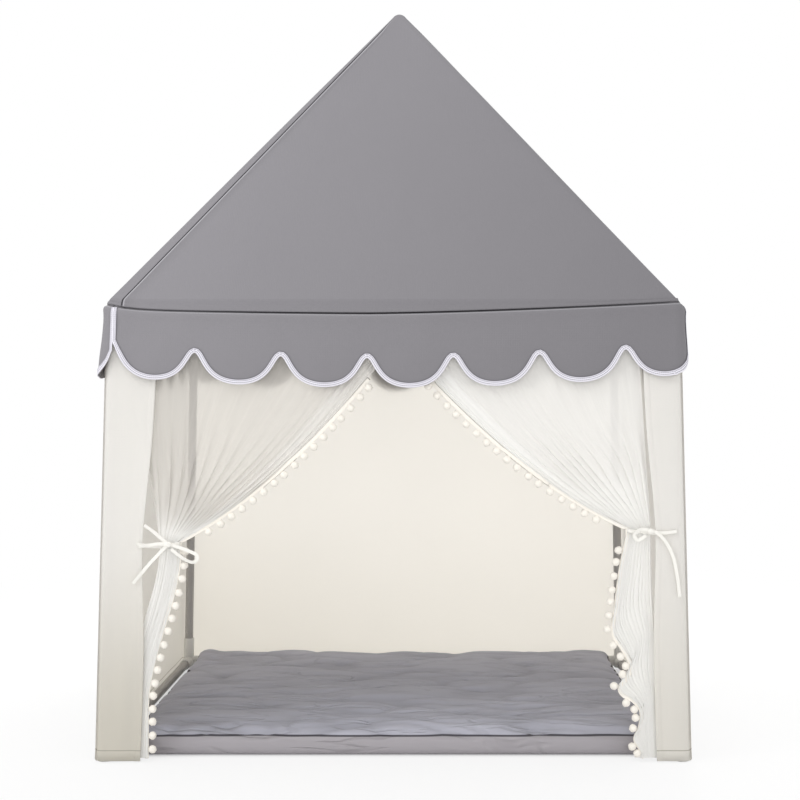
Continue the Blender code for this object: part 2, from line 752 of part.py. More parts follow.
def make_bow(curtain, inset, tapes, material):
    """The knot in front of the tie, with its loops and tails fused to it."""
    across = curtain.hand * (FLOOR_HALF_WIDTH - inset)
    height = curtain.tie_height
    front = post_y(height) + WALL_REACH + 2 * SEAT_GAP + TIE_THICKNESS
    plane = -(front + KNOT_SIZE[1])
    bm = bmesh.new()
    place = Matrix.Translation((across, plane, height)) @ Matrix.Diagonal((*KNOT_SIZE, 1))
    bmesh.ops.create_uvsphere(bm, u_segments=12, v_segments=8, radius=1.0, matrix=place)
    name = curtain.name.replace("curtain", "bow")
    item = add_object(name, mesh_from(bm, name), material)
    for points in tapes:
        placed = [(across + x, height + z) for x, z in points]
        combine(item, tape_mesh(placed, plane), "UNION")


def make_mat(material):
    """The padded floor mat, crowned on top and drawn in at its edges."""
    bm = bmesh.new()
    bmesh.ops.create_cube(bm, size=2.0)
    for axis, cuts in zip(range(3), MAT_CELLS):
        edges = [e for e in bm.edges if abs(e.verts[0].co[axis] - e.verts[1].co[axis]) > 1.5]
        bmesh.ops.subdivide_edges(bm, edges=edges, cuts=cuts - 1, use_grid_fill=True)
    for vert in bm.verts:
        a, b, c = vert.co
        roll = MAT_EDGE_ROLL * (1 - math.sqrt(max(0.0, 1 - 0.96 * c * c)))
        corner = 1 - MAT_CORNER_PULL * (a * b) ** MAT_CORNER_POWER
        reach_x = FLOOR_HALF_WIDTH - MAT_SIDE_CLEARANCE
        reach_y = FLOOR_HALF_DEPTH - (MAT_FRONT_CLEARANCE if b < 0 else MAT_BACK_CLEARANCE)
        x = a * (reach_x * corner - roll * abs(a) ** MAT_EDGE_POWER)
        y = b * (reach_y * corner - roll * abs(b) ** MAT_EDGE_POWER)
        rise = MAT_CROWN + MAT_WRINKLE * math.sin(MAT_WRINKLE_TURNS[0] * a + MAT_WRINKLE_TURNS[1] * b)
        if c < 0.9:
            rise = 0.0
        rise *= (1 - a**MAT_CROWN_POWER) * (1 - b**MAT_CROWN_POWER)
        vert.co = Vector((x, y, MAT_THICKNESS * (c + 1) / 2 + rise))
    bmesh.ops.recalc_face_normals(bm, faces=bm.faces)
    add_object("floor_mat", mesh_from(bm, "floor_mat"), material, 60.0)


def main():
    reset_scene()
    roof_cloth = make_material("grey_canvas", (0.30, 0.29, 0.31), 0.95)
    binding = make_material("bias_binding", (0.76, 0.75, 0.80), 0.9)
    cotton = make_material("white_cotton", (0.83, 0.82, 0.78), 0.95)
    sheer = make_material("sheer_voile", (0.78, 0.75, 0.70), 0.9)
    pompom = make_material("cream_pompom", (0.92, 0.88, 0.80), 1.0)
    tape = make_material("tie_tape", (0.85, 0.83, 0.77), 0.9)
    pole = make_material("grey_tube", (0.24, 0.22, 0.23), 0.5)
    plastic = make_material("connector_plastic", (0.80, 0.80, 0.78), 0.45)
    mat_cloth = make_material("mat_cotton", (0.27, 0.26, 0.30), 0.95)

    make_frame(pole, plastic)
    for name, side in (("front", FRONT), ("right", RIGHT), ("back", BACK), ("left", LEFT)):
        make_roof_panel(f"{name}_roof_panel", side, roof_cloth)
        make_valance(f"{name}_valance", side, roof_cloth, binding)
        if side != FRONT:
            make_wall(f"{name}_wall", side, cotton)
    make_jamb("left_jamb", -1, cotton)
    make_jamb("right_jamb", 1, cotton)
    make_header(cotton)

    left = Curtain("left_curtain", -1, LEFT_TIE_HEIGHT)
    left.hang(LEFT_HEADING_INSET, LEFT_HEADING_OVERLAP)
    left.gather(LEFT_TIE_INSET, LEFT_TIE_WIDTH)
    left.finish(LEFT_HEM_INSET, LEFT_HEM_WIDTH, ruffle=0.0)
    right = Curtain("right_curtain", 1, RIGHT_TIE_HEIGHT, step=CROSSING_STEP)
    right.hang(RIGHT_HEADING_INSET, RIGHT_HEADING_OVERLAP)
    right.gather(RIGHT_TIE_INSET, RIGHT_TIE_WIDTH)
    right.finish(RIGHT_HEM_INSET, RIGHT_HEM_WIDTH, ruffle=RIGHT_RUFFLE)
    for curtain in (left, right):
        make_curtain(curtain, sheer)
        make_trim(curtain, pompom)
    make_tie(left, LEFT_STRAP_INSET, tape)
    make_tie(right, RIGHT_STRAP_INSET, tape)
    make_bow(left, LEFT_BOW_INSET, (LEFT_TAIL, LEFT_LOOP, LEFT_STRAND), tape)
    make_bow(right, RIGHT_BOW_INSET, (RIGHT_TAIL, RIGHT_LOOP), tape)
    make_mat(mat_cloth)


main()
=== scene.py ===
import math

import bmesh
import bpy
from bpy.props import FloatProperty, IntProperty, PointerProperty, StringProperty
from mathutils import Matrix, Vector, noise


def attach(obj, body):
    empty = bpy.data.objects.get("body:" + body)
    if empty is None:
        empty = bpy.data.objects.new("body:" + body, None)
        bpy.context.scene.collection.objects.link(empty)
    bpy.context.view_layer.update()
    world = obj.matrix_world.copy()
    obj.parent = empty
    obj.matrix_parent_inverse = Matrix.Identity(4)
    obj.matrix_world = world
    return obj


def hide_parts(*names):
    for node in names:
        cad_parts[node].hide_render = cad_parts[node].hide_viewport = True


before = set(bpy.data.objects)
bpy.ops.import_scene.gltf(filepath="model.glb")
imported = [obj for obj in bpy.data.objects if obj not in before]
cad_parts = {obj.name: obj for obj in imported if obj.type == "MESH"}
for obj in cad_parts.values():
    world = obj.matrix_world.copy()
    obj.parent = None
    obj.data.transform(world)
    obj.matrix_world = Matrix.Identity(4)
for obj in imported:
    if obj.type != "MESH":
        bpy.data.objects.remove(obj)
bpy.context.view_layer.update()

bl_info = {
    "name": "Play Tent",
    "version": (1, 0, 0),
    "blender": (4, 5, 0),
    "location": "3D View > Sidebar > Play Tent",
    "description": "Dresses a pole frame as a cloth play tent with tied sheer curtains and a padded mat",
    "category": "Object",
}

FRONT, RIGHT, BACK, LEFT = range(4)
ALONG = (Vector((1, 0, 0)), Vector((0, 1, 0)), Vector((-1, 0, 0)), Vector((0, -1, 0)))
OUTWARD = (Vector((0, -1, 0)), Vector((1, 0, 0)), Vector((0, 1, 0)), Vector((-1, 0, 0)))
SIDE_NAMES = ("front", "right", "back", "left")
UP = Vector((0, 0, 1))
RIGHT_ANGLE = math.pi / 2

# From the outside of the walls at the floor to the pole axes
POLE_INSET = 0.0172

# Reach of each layer of cloth from the pole axes
WALL_REACH = 0.0195
WALL_TOP_REACH = 0.0160
ROOF_REACH = 0.0176
VALANCE_REACH = 0.0218

# Height from which the walls tuck in under the roof cover, and the height that this takes
WALL_TUCK = (0.845, 0.055)

# Heights of the eave seam at the four corners, and in the middle of each side, under the rail
SEAM_CORNERS = (0.9215, 0.9265, 0.9240, 0.9225)
SEAM_MIDDLES = (0.9030, 0.9060, 0.9040, 0.9060)

# Where along a side, from -1 to 1, the eave seam is lowest, and its two bends before and one after
# that, each as a share of the rise and a sharpness
SEAM_LOWEST = -0.1
SEAM_BENDS_BEFORE = ((0.42, 1.5), (0.58, 12.0))
SEAM_BENDS_AFTER = ((1.0, 1.5),)


def srgb(hex_colour):
    """A linear colour with its alpha, from an sRGB hex value."""
    channels = [int(hex_colour[i : i + 2], 16) / 255 for i in (1, 3, 5)]
    linear = [c / 12.92 if c <= 0.04045 else ((c + 0.055) / 1.055) ** 2.4 for c in channels]
    return (*linear, 1.0)


def mix(a, b, t):
    return a + (b - a) * t


def ease(t):
    t = min(1.0, max(0.0, t))
    return t * t * (3 - 2 * t)


def bump_at(value, centre, spread):
    return math.exp(-(((value - centre) / spread) ** 2))


def ripple(point, size, shift=0.0):
    """Smooth noise from -1 to 1 whose lumps are about size metres across."""
    return noise.noise(point / size + Vector((shift, shift * 0.7, shift * 1.3)))


def lumps(point, layers, shift=0.0):
    """Layers of smooth noise added up, each a height, the size of its lumps and a shift of its own."""
    return sum(height * ripple(point, size, own + shift) for height, size, own in layers)


# Shape of the tent


def length_property(name, description, default):
    """A size in metres that a user can change."""
    return FloatProperty(name=name, description=description, default=default, unit="LENGTH")


def colour_property(name, description, default):
    """A colour that a user can change, as an sRGB hex value."""
    return StringProperty(name=name, description=description, default=default)


class PlayTentSizes(bpy.types.PropertyGroup):
    """Sizes of the tent that its cloth is cut to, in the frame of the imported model."""

    half_width: length_property("Half width", "Outside of the side walls at the floor", 0.600)
    half_depth: length_property("Half depth", "Outside of the back wall at the floor", 0.500)
    eave_inset: length_property("Eave inset", "How far the walls lean in at the eave", 0.019)
    eave_height: length_property("Eave height", "Height of the eave rails' axes", 0.924)
    crown_height: length_property("Crown height", "Height of the point where the rafters meet", 1.618)
    cover_slip: length_property("Cover slip", "How far the roof cover has slid round the frame", 0.0175)
    cusp_height: length_property("Cusp height", "Height of the points between two scallops", 0.816)
    scallop_depth: length_property("Scallop depth", "How far a scallop hangs below the cusps", 0.060)
    scallop_pitch: length_property("Scallop pitch", "Width of a scallop", 0.173)
    binding_width: length_property("Binding width", "Visible width of the bias binding", 0.0090)
    pompom_radius: length_property("Pom-pom radius", "Radius of the yarn pom-poms", 0.0080)
    pompom_pitch: length_property("Pom-pom pitch", "Distance between two pom-poms on their tape", 0.027)
    curtain_pleats: IntProperty(
        name="Curtain pleats", description="Number of pleats that the ties gather", default=15, min=4
    )


class PlayTentColours(bpy.types.PropertyGroup):
    """Colours of the tent's finishes, as sRGB hex values."""

    canvas: colour_property("Canvas", "Roof cover and valance", "#848286")
    binding: colour_property("Binding", "Bias binding along the scallops", "#E6E4EC")
    cotton: colour_property("Cotton", "Walls and door strips", "#F5F3EF")
    voile: colour_property("Voile", "Sheer curtains", "#FDFCF9")
    yarn: colour_property("Yarn", "Pom-poms", "#F6F1E8")
    tape: colour_property("Tape", "Ties, bows and trim tape", "#F0EEE8")
    mat: colour_property("Mat", "Padded floor mat", "#BBBBC6")
    tube: colour_property("Tube", "Frame poles", "#B2AFAD")
    moulded: colour_property("Moulded plastic", "Connectors", "#E4E3E0")


def sizes():
    return bpy.context.scene.play_tent_sizes


def colours():
    return bpy.context.scene.play_tent_colours


def post_x(height):
    """Distance of the corner posts' axes from the middle, across the tent."""
    tent = sizes()
    return tent.half_width - POLE_INSET - tent.eave_inset * height / tent.eave_height


def post_y(height):
    """Distance of the corner posts' axes from the middle, front to back."""
    tent = sizes()
    return tent.half_depth - POLE_INSET - tent.eave_inset * height / tent.eave_height


def side_half(side, height):
    return post_x(height) if side in (FRONT, BACK) else post_y(height)


def wrap(side, s, half_x, half_y, height, reach, normals, bend=None):
    """A point of the rounded rectangle round the frame, s metres along one side from its middle.

    Past a side's end it turns the corner about the pole axis, at the reach called bend.
    """
    bend = bend or reach
    halves = (half_x, half_y, half_x, half_y)
    depths = (half_y, half_x, half_y, half_x)
    turn = normals[side].angle(normals[(side + 1) % 4])
    excess = abs(s) - halves[side]
    held = math.copysign(min(abs(s), halves[side]), s)
    point = ALONG[side] * held + OUTWARD[side] * depths[side] + UP * height
    normal = normals[side]
    if excess > 0:
        neighbour = normals[(side + (1 if s > 0 else -1)) % 4]
        normal = normals[side].slerp(neighbour, min(1.0, excess / (turn * bend)))
    return point + normal * reach, normal


def around(p, half_x, half_y, height, reach, normals, bend):
    """As wrap, but p runs round all four sides from the middle of the front."""
    arc = normals[FRONT].angle(normals[RIGHT]) * bend
    lengths = [2 * half + arc for half in (half_x, half_y, half_x, half_y)]
    p = (p + lengths[FRONT] / 2) % sum(lengths)
    side = 0
    while side < 3 and p > lengths[side]:
        p -= lengths[side]
        side += 1
    s = p - lengths[side] / 2
    return (*wrap(side, s, half_x, half_y, height, reach, normals, bend), side, s)


def wall_reach(height):
    """Reach of the walls, which tuck in under the roof cover at their top."""
    return mix(WALL_REACH, WALL_TOP_REACH, ease((height - WALL_TUCK[0]) / WALL_TUCK[1]))


def seam_height(side, fraction):
    """Height of the eave seam, which sags between the corners; fraction is -1 to 1 along a side."""
    middle = SEAM_MIDDLES[side]
    if fraction < SEAM_LOWEST:
        corner, bends = SEAM_CORNERS[side], SEAM_BENDS_BEFORE
        way = (SEAM_LOWEST - fraction) / (1 + SEAM_LOWEST)
    else:
        corner, bends = SEAM_CORNERS[(side + 1) % 4], SEAM_BENDS_AFTER
        way = min(1.0, (fraction - SEAM_LOWEST) / (1 - SEAM_LOWEST))
    return middle + (corner - middle) * sum(share * way**power for share, power in bends)


def roof_normals():
    tent = sizes()
    rise = tent.crown_height - tent.eave_height
    runs = (post_y(tent.eave_height), post_x(tent.eave_height)) * 2
    return [(OUTWARD[k] * rise + UP * runs[k]).normalized() for k in range(4)]


# Mesh tools


def finish_mesh(name, bm, material, thickness=0.0, offset=0.0, smooth_angle=50.0):
    """Turns a bmesh into a linked piece at the origin, with one material."""
    mesh = bpy.data.meshes.new(name)
    bm.to_mesh(mesh)
    bm.free()
    mesh.materials.append(material)
    mesh.shade_smooth()
    mesh.set_sharp_from_angle(angle=math.radians(smooth_angle))
    piece = bpy.data.objects.new(name, mesh)
    bpy.context.scene.collection.objects.link(piece)
    if thickness:
        solid = piece.modifiers.new("Cloth thickness", "SOLIDIFY")
        solid.thickness = thickness
        solid.offset = offset
    return piece


def sheet_mesh(columns, rows, place, closed=False):
    """A grid moved by a rule that gives each vertex its place, its flat place and its shade.

    The flat place in metres becomes the UV map, so that weave and stitches follow the cloth.
    """
    bm = bmesh.new()
    bmesh.ops.create_grid(bm, x_segments=columns, y_segments=rows, size=1.0)
    uv_layer = bm.loops.layers.uv.new("UVMap")
    shade_layer = bm.verts.layers.float.new("shade")
    flat = {}
    for vert in bm.verts:
        placed = place((vert.co.x + 1) / 2, (vert.co.y + 1) / 2)
        vert.co = placed[0]
        flat[vert] = placed[1]
        vert[shade_layer] = placed[2] if len(placed) > 2 else 0.0
    for face in bm.faces:
        for loop in face.loops:
            loop[uv_layer].uv = flat[loop.vert]
    if closed:
        bmesh.ops.remove_doubles(bm, verts=bm.verts, dist=0.00001)
    return bm


def listed(values, fraction):
    return values[round(fraction * (len(values) - 1))]


def spaced(start, end, count):
    return [start + (end - start) * i / count for i in range(count + 1)]


def walked_along(points, start=0.0):
    """Distance of each point along its path."""
    walked = [start]
    for a, b in zip(points, points[1:]):
        walked.append(walked[-1] + (b - a).length)
    return walked


# Roof cover

# Profile across a hip seam: distance past it, height over the cloth, and painted shade, from a painted
# highlight below 0 to dark
HIP_SEAM = (
    (0.0, -0.0016, 1.0), (0.0014, 0.0008, 0.35), (0.0022, 0.0011, 0.0), (0.0036, 0.0012, -0.8),
    (0.0050, 0.0010, 0.0), (0.0070, 0.0010, 0.0), (0.0084, 0.0, 0.0),
)
HIP_SEAM_START = ((-0.0050, 0.0, 0.0), (-0.0024, 0.0004, 0.0), (-0.0012, 0.0004, 0.5))
CANOPY_COLUMNS = 44
CANOPY_ROWS = 46
CANOPY_CUT = (4.30, 0.93)
CANOPY_THICKNESS = 0.0012
FLAT_START = 3.0
CROWN_TURNS = (0.3, 0.6, 0.85, 1.0)
EAVE_TURNS = (1.0, 0.75, 0.5, 0.25)
# Rows of the hem at the eave seam: height over the seam, reach, and painted shade in the groove under the hem
# and just above it
HEM_ROWS = (
    (0.0035, -0.0022, 1.0), (0.0006, 0.0010, 1.0), (0.0012, 0.0022, 0.8), (0.0024, 0.0028, 0.12),
    (0.0044, 0.0026, 0.06), (0.0080, 0.0008, 0.05),
)
# How far the hip seams lie past their ridges at the eave and at the crown
HIP_SLIPS = (0.029, 0.004)
# Under this length of a side its hip seams narrow, and at this half length the cover closes
HIP_TAPER = 0.10
CROWN_HALF = 0.0004
# Sag of a slope, height of the roll of slack over its eave, and soft lumps of cloth
SLOPE_SAG = 0.0075
EAVE_ROLL = 0.0030
SLOPE_LUMPS = ((0.0022, 0.24, 1.0), (0.0009, 0.09, 5.0))


def hip_slip(t):
    """How far a hip seam lies past its ridge, from the eave at 0 to the crown at 1."""
    return mix(*HIP_SLIPS, t)


def canopy_rows():
    """Rows from the hem to the crown: slope, eave turn, height over the seam, reach, crown turn, painted
    shade.
    """
    rows = [(0.0, 1.0, lift, proud, 0.0, dark) for lift, proud, dark in HEM_ROWS]
    rows += [(0.0, turn, None, 0.0, 0.0, 0.05) for turn in EAVE_TURNS]
    rows += [(i / CANOPY_ROWS, 0.0, None, 0.0, 0.0, 0.0) for i in range(CANOPY_ROWS + 1)]
    return rows + [(1.0, 0.0, None, 0.0, turn, 0.0) for turn in CROWN_TURNS]


def canopy_wrinkle(place, t, ratio):
    """Slack of the roof cloth: a shallow sag, soft lumps, and a roll that lies over the eave."""
    open_cloth = (1 - ratio**4) * math.sin(math.pi * min(1.0, max(0.0, t))) ** 0.6
    sag = SLOPE_SAG * (1 - ratio * ratio) * math.sin(math.pi * t) ** 0.8
    roll = EAVE_ROLL * bump_at(t, 0.045, 0.05) * (1 - ratio**6) * (0.6 + 0.4 * ripple(place, 0.3, 9.0))
    return open_cloth * lumps(place, SLOPE_LUMPS) - sag - roll


def make_canopy(material):
    """One continuous cover over all four slopes, sewn at hips that have slid past their ridges."""
    tent = sizes()
    slopes = roof_normals()
    crown = UP * tent.crown_height
    rows = canopy_rows()
    inner = [i / CANOPY_COLUMNS for i in range(1, CANOPY_COLUMNS)]
    columns = []
    for side in range(4):
        columns += [(side, "start", *step) for step in HIP_SEAM]
        columns += [(side, "inside", fraction, 0.0, 0.0) for fraction in inner]
        columns += [(side, "end", *step) for step in HIP_SEAM_START]
    columns.append((4, "start", *HIP_SEAM[0]))

    def place(u, v):
        t, turn, lift, proud, closing, dark = listed(rows, v)
        side, kind, value, ridge, crease = listed(columns, u)
        normals = [slopes[k].slerp(OUTWARD[k], turn) if turn else slopes[k] for k in range(4)]
        half_x = max(post_x(tent.eave_height) * (1 - t), CROWN_HALF)
        half_y = max(post_y(tent.eave_height) * (1 - t), CROWN_HALF)
        reach = ROOF_REACH + proud
        arc = normals[FRONT].angle(normals[RIGHT]) * ROOF_REACH
        lengths = [2 * half + arc for half in (half_x, half_y, half_x, half_y)]
        start = -lengths[FRONT] / 2 + sum(lengths[: side % 4]) + (sum(lengths) if side == 4 else 0.0)
        length = lengths[side % 4]
        shrink = min(1.0, length / HIP_TAPER)
        if kind == "inside":
            p = start + mix(HIP_SEAM[-1][0] * shrink, length + HIP_SEAM_START[0][0] * shrink, value)
        elif kind == "start":
            p = start + value * shrink
        else:
            p = start + length + value * shrink
        p += hip_slip(t) * shrink
        height = mix(tent.eave_height, tent.crown_height, t)
        point, normal, face, s = around(p, half_x, half_y, height, reach, normals, ROOF_REACH)
        half = half_x if face in (FRONT, BACK) else half_y
        if lift is not None:
            point.z = seam_height(face, max(-1.0, min(1.0, s / (half + arc / 2)))) + lift
        if closing:
            direction = (point - crown).normalized().slerp(UP, closing * 0.999)
            point = crown + (direction if closing < 1 else UP) * ROOF_REACH
        elif not turn:
            point += normal * canopy_wrinkle(point, t, min(1.0, abs(s) / half))
        point += normal * ridge * shrink * (1 if t < 1 else 0)
        # Painted shade along the hip seams and in the eave seam's groove, thinner towards the corners
        shade = crease + dark
        if dark > 0.1:
            shade = dark * (1 - 0.5 * min(1.0, abs(s) / half) ** 2)
        return point, (p + FLAT_START, t * CANOPY_CUT[1] + (lift or 0.0) - 0.01 * turn), shade

    bm = sheet_mesh(len(columns) - 1, len(rows) - 1, place, closed=True)
    return finish_mesh("roof_canopy", bm, material, thickness=CANOPY_THICKNESS, offset=-1.0)


# Valance

VALANCE_STEP = 0.0042
VALANCE_ROWS = 16
VALANCE_THICKNESS = 0.0014
# Profile of a valance's top: distance below the seam, reach, and painted shade in the seam's groove, below 0
# a painted highlight on the pressed top edge
VALANCE_PROFILE = (
    (-0.0035, -0.0052, 1.0), (0.0012, -0.0046, 1.0), (0.0022, -0.0034, 0.8), (0.0030, -0.0014, 0.0),
    (0.0040, 0.0004, -0.35), (0.0056, 0.0012, 0.0), (0.0095, 0.0012, 0.0),
)

# First cusps of the front and of the right side, from the seam on their left
FRONT_FIRST_CUSP = 0.165
RIGHT_FIRST_CUSP = 0.045
# How round the lobes and how blunt the cusps are, and how far the other sides' lobes run past the seams
CUSP_POWER = -0.3
CUSP_SOFTNESS = 0.085
SIDE_OVERRUN = 0.030
# The line of the cusps is lower in the middle of a side, and follows the eave seam by a share
LINE_SAG = 0.018
SEAM_SHARE = 0.4
EDGE_DROP = 0.003
# Arches by which the lower edge rises to the slits at both ends of a side, each a height and a reach
PLAIN_ARCH = (0.031, 0.007)
END_ARCHES = {
    FRONT: ((0.017, 0.024), (0.045, 0.010)),
    RIGHT: ((0.030, 0.014), PLAIN_ARCH),
    BACK: (PLAIN_ARCH, PLAIN_ARCH),
    LEFT: (PLAIN_ARCH, PLAIN_ARCH),
}

# How far the valance stands off below a height: in all, at its lobes, beside a slit and in soft lumps
HANG_TOP = 0.905
HANG_HEIGHT = 0.12
FLARE = 0.0062
LOBE_FLARE = 0.0030
SLIT_FLARE = 0.0050
SLIT_FLARE_WIDTH = 0.05
SLIT_FLARE_DROP = 0.014
HANGING_LUMP = (0.0022, 0.12, 3.0)
SMALL_LUMP = (0.0008, 0.05, 7.0)
# Bulge of the cloth just under the eave seam: its height, and its distance below the seam
SEAM_BULGE = (0.0012, 0.012)

# A slit between two valances, its binding's width on each side of it, and where that width is reached
SLIT = 0.0010
SLIT_WIDTHS = (0.0062, 0.0024)
SLIT_TURN = 0.016
SLIT_STEPS = 14
# Beside a slit the top of a valance lies flatter, by a share and over a width
SLIT_PRESS = (0.7, 0.022)
BINDING_THICKNESS = 0.0028
BINDING_TOP = 0.0030
# Profile across the binding: share of its width, and reach
BINDING_PROFILE = (
    (0.0, 0.0), (0.06, 0.0005), (0.2, 0.0007), (0.5, 0.0005), (0.8, 0.0007), (0.94, 0.0004), (1.0, 0.0),
)
BINDING_REACH = 0.0010


def valance_pitch(side, length):
    """Distance of the first cusp from the left seam, and the width of a scallop."""
    tent = sizes()
    if side == FRONT:
        return FRONT_FIRST_CUSP, tent.scallop_pitch
    cut = length + 2 * SIDE_OVERRUN
    pitch = cut / round(cut / tent.scallop_pitch)
    return (RIGHT_FIRST_CUSP if side == RIGHT else pitch - SIDE_OVERRUN), pitch


def scallop(distance, length, side):
    """Height of the valance's lower edge, which runs up to the slit in each corner seam."""
    tent = sizes()
    first, pitch = valance_pitch(side, length)
    phase = math.sin(math.pi * (distance - first) / pitch)
    least, most = (softness**CUSP_POWER for softness in (CUSP_SOFTNESS, 1 + CUSP_SOFTNESS))
    share = ((phase * phase + CUSP_SOFTNESS) ** CUSP_POWER - least) / (most - least)
    if side == RIGHT and distance < first:
        share = 0.0
    height = tent.cusp_height - tent.scallop_depth * share
    for (rise, reach), gap in zip(END_ARCHES[side], (distance, length - distance)):
        height += rise * math.exp(-gap / reach)
    fraction = 2 * distance / length - 1
    height += LINE_SAG * fraction * fraction
    return height + SEAM_SHARE * (seam_height(side, fraction) - SEAM_MIDDLES[side]) - EDGE_DROP


def valance_span(side):
    tent = sizes()
    arc = RIGHT_ANGLE * VALANCE_REACH
    lengths = [2 * side_half(k, tent.eave_height) + arc for k in range(4)]
    return -lengths[FRONT] / 2 + sum(lengths[:side]) + tent.cover_slip, lengths[side]


def valance_point(side, distance, height, proud):
    """A point of one valance, whose lobes stand off the wall a little more than its cusps."""
    tent = sizes()
    start, length = valance_span(side)
    grown = length + 2 * (side_half(side, height) - side_half(side, tent.eave_height))
    p = start + distance
    spread = (distance / length - 0.5) * (grown - length)
    half_x, half_y = post_x(height), post_y(height)
    over = around(p, post_x(tent.eave_height), post_y(tent.eave_height), height, 1.0, OUTWARD, VALANCE_REACH)
    face, s = over[2], over[3]
    half = side_half(face, tent.eave_height)
    s += spread if abs(s) < half else 0.0
    if abs(s) >= half:
        s = math.copysign(side_half(face, height) + abs(s) - half, s)
    point, normal = wrap(face, s, half_x, half_y, height, VALANCE_REACH, OUTWARD, VALANCE_REACH)
    first, pitch = valance_pitch(side, length)
    lobe = math.sin(math.pi * (distance - first) / pitch) ** 2
    hang = ease((HANG_TOP - height) / HANG_HEIGHT)
    billow = hang * (FLARE + LOBE_FLARE * lobe)
    slit = ease(1 - min(distance, length - distance) / SLIT_FLARE_WIDTH)
    below = valance_seam(side, distance) - height
    billow += SLIT_FLARE * slit * ease(below / SLIT_FLARE_DROP) * (1 - 0.6 * hang)
    billow += hang * lumps(point, [HANGING_LUMP]) + lumps(point, [SMALL_LUMP])
    return point + normal * (proud + billow)


def valance_seam(side, distance):
    """Height of the eave seam over a valance, wherever it has slid to round the frame."""
    tent = sizes()
    p = valance_span(side)[0] + distance
    half_x, half_y = post_x(tent.eave_height), post_y(tent.eave_height)
    over = around(p, half_x, half_y, tent.eave_height, VALANCE_REACH, OUTWARD, VALANCE_REACH)
    face, s = over[2], over[3]
    half = side_half(face, tent.eave_height) + RIGHT_ANGLE * VALANCE_REACH / 2
    return seam_height(face, max(-1.0, min(1.0, s / half)))


def bulge(side, distance, height):
    """How far the cloth stands out where it comes from under the eave seam."""
    out, below = SEAM_BULGE
    return out * bump_at(height, valance_seam(side, distance) - below, below)


def make_valance(side, material):
    """One scalloped side of the valance, sewn to the roof cover's edge."""
    length = valance_span(side)[1] - SLIT
    columns = spaced(0.0, length, round(length / VALANCE_STEP))

    def place(u, v):
        distance = listed(columns, u)
        low = scallop(distance, length, side)
        top = valance_seam(side, distance)
        profile = [(top - drop, reach, dark) for drop, reach, dark in reversed(VALANCE_PROFILE)]
        rows = [(z, 0.0, 0.0) for z in spaced(low, profile[0][0], VALANCE_ROWS)[:-1]] + profile
        height, reach, dark = listed(rows, v)
        if height < top:
            flatter, width = SLIT_PRESS
            reach *= 1 - flatter * ease(1 - min(distance, length - distance) / width)
        # Painted shade in the eave seam's groove, thinner towards the ends of a side
        if dark > 0.1:
            dark *= 1 - 0.5 * (2 * distance / length - 1) ** 2
        point = valance_point(side, distance, height, reach + bulge(side, distance, height))
        return point, (distance + side * 1.3, height), dark

    bm = sheet_mesh(len(columns) - 1, VALANCE_ROWS + len(VALANCE_PROFILE) - 1, place)
    return finish_mesh(f"{SIDE_NAMES[side]}_valance_cloth", bm, material, VALANCE_THICKNESS), length


def make_binding(side, length, material):
    """The bias binding round a valance's free edges: down one slit, along the scallops and up."""
    width = sizes().binding_width
    tops = [valance_seam(side, d) - BINDING_TOP for d in (0.0, length)]
    lows = [scallop(d, length, side) for d in (0.0, length)]
    edge = [(0.0, z) for z in spaced(tops[0], lows[0], SLIT_STEPS)[:-1]]
    edge += [(d, scallop(d, length, side)) for d in spaced(0.0, length, round(length / VALANCE_STEP))]
    edge += [(length, z) for z in spaced(lows[1], tops[1], SLIT_STEPS)[1:]]
    widths = []
    for d, _ in edge:
        ends = zip(SLIT_WIDTHS, (d, length - d))
        widths.append(min(mix(narrow, width, ease(gap / SLIT_TURN)) for narrow, gap in ends))
    inward = binding_normals(edge)
    walked = walked_along([Vector(step) for step in edge])

    def place(u, v):
        (d, z), (nx, nz) = listed(edge, u), listed(inward, u)
        share, swell = listed(BINDING_PROFILE, v)
        across = listed(widths, u) * share
        d = min(length, max(0.0, d + nx * across))
        z += nz * across
        point = valance_point(side, d, z, swell + BINDING_REACH + bulge(side, d, z))
        return point, (listed(walked, u), share * width), 0.0

    bm = sheet_mesh(len(edge) - 1, len(BINDING_PROFILE) - 1, place)
    return finish_mesh(f"{SIDE_NAMES[side]}_valance_bias_binding", bm, material, BINDING_THICKNESS)


def binding_normals(edge):
    """Directions into the cloth along its free edge, shortened so that they don't cross."""
    normals = []
    for i in range(len(edge)):
        a, b = edge[max(0, i - 1)], edge[min(len(edge) - 1, i + 1)]
        along = Vector((b[0] - a[0], b[1] - a[1])).normalized()
        normals.append(Vector((-along.y, along.x)))
    smoothed = []
    for i in range(len(edge)):
        group = normals[max(0, i - 1) : i + 2]
        smoothed.append(sum(group, Vector((0, 0))).normalized())
    return smoothed


# Walls and door strips

WALL_TOP = 0.921
WALL_HEM = 0.003
WALL_COLUMNS = 72
WALL_ROWS = 48
WALL_THICKNESS = 0.0009
# Cloth that turns a corner stops short of its neighbour by this
CORNER_GAP = 0.0002
# Upright folds of a wall, its soft lumps on points squeezed upright, and the doubled hem at the floor
WALL_FOLD = 0.0014
WALL_SET_BACK = 0.0008
WALL_SQUEEZE = 0.22
WALL_LUMPS = ((0.0034, 0.16, 11.0), (0.0012, 0.05, 17.0))
HEM_TOP = 0.022
HEM_PROUD = 0.0006


def squeezed(point, share):
    """The point at a share of its height, for noise that is drawn out upright."""
    return Vector((point.x, point.y, point.z * share))


def corner_arc(height):
    """Half the length of cloth that goes round a corner post."""
    return RIGHT_ANGLE * wall_reach(height) / 2 - CORNER_GAP


def on_wall(side, s, height):
    return wrap(side, s, post_x(height), post_y(height), height, wall_reach(height), OUTWARD)


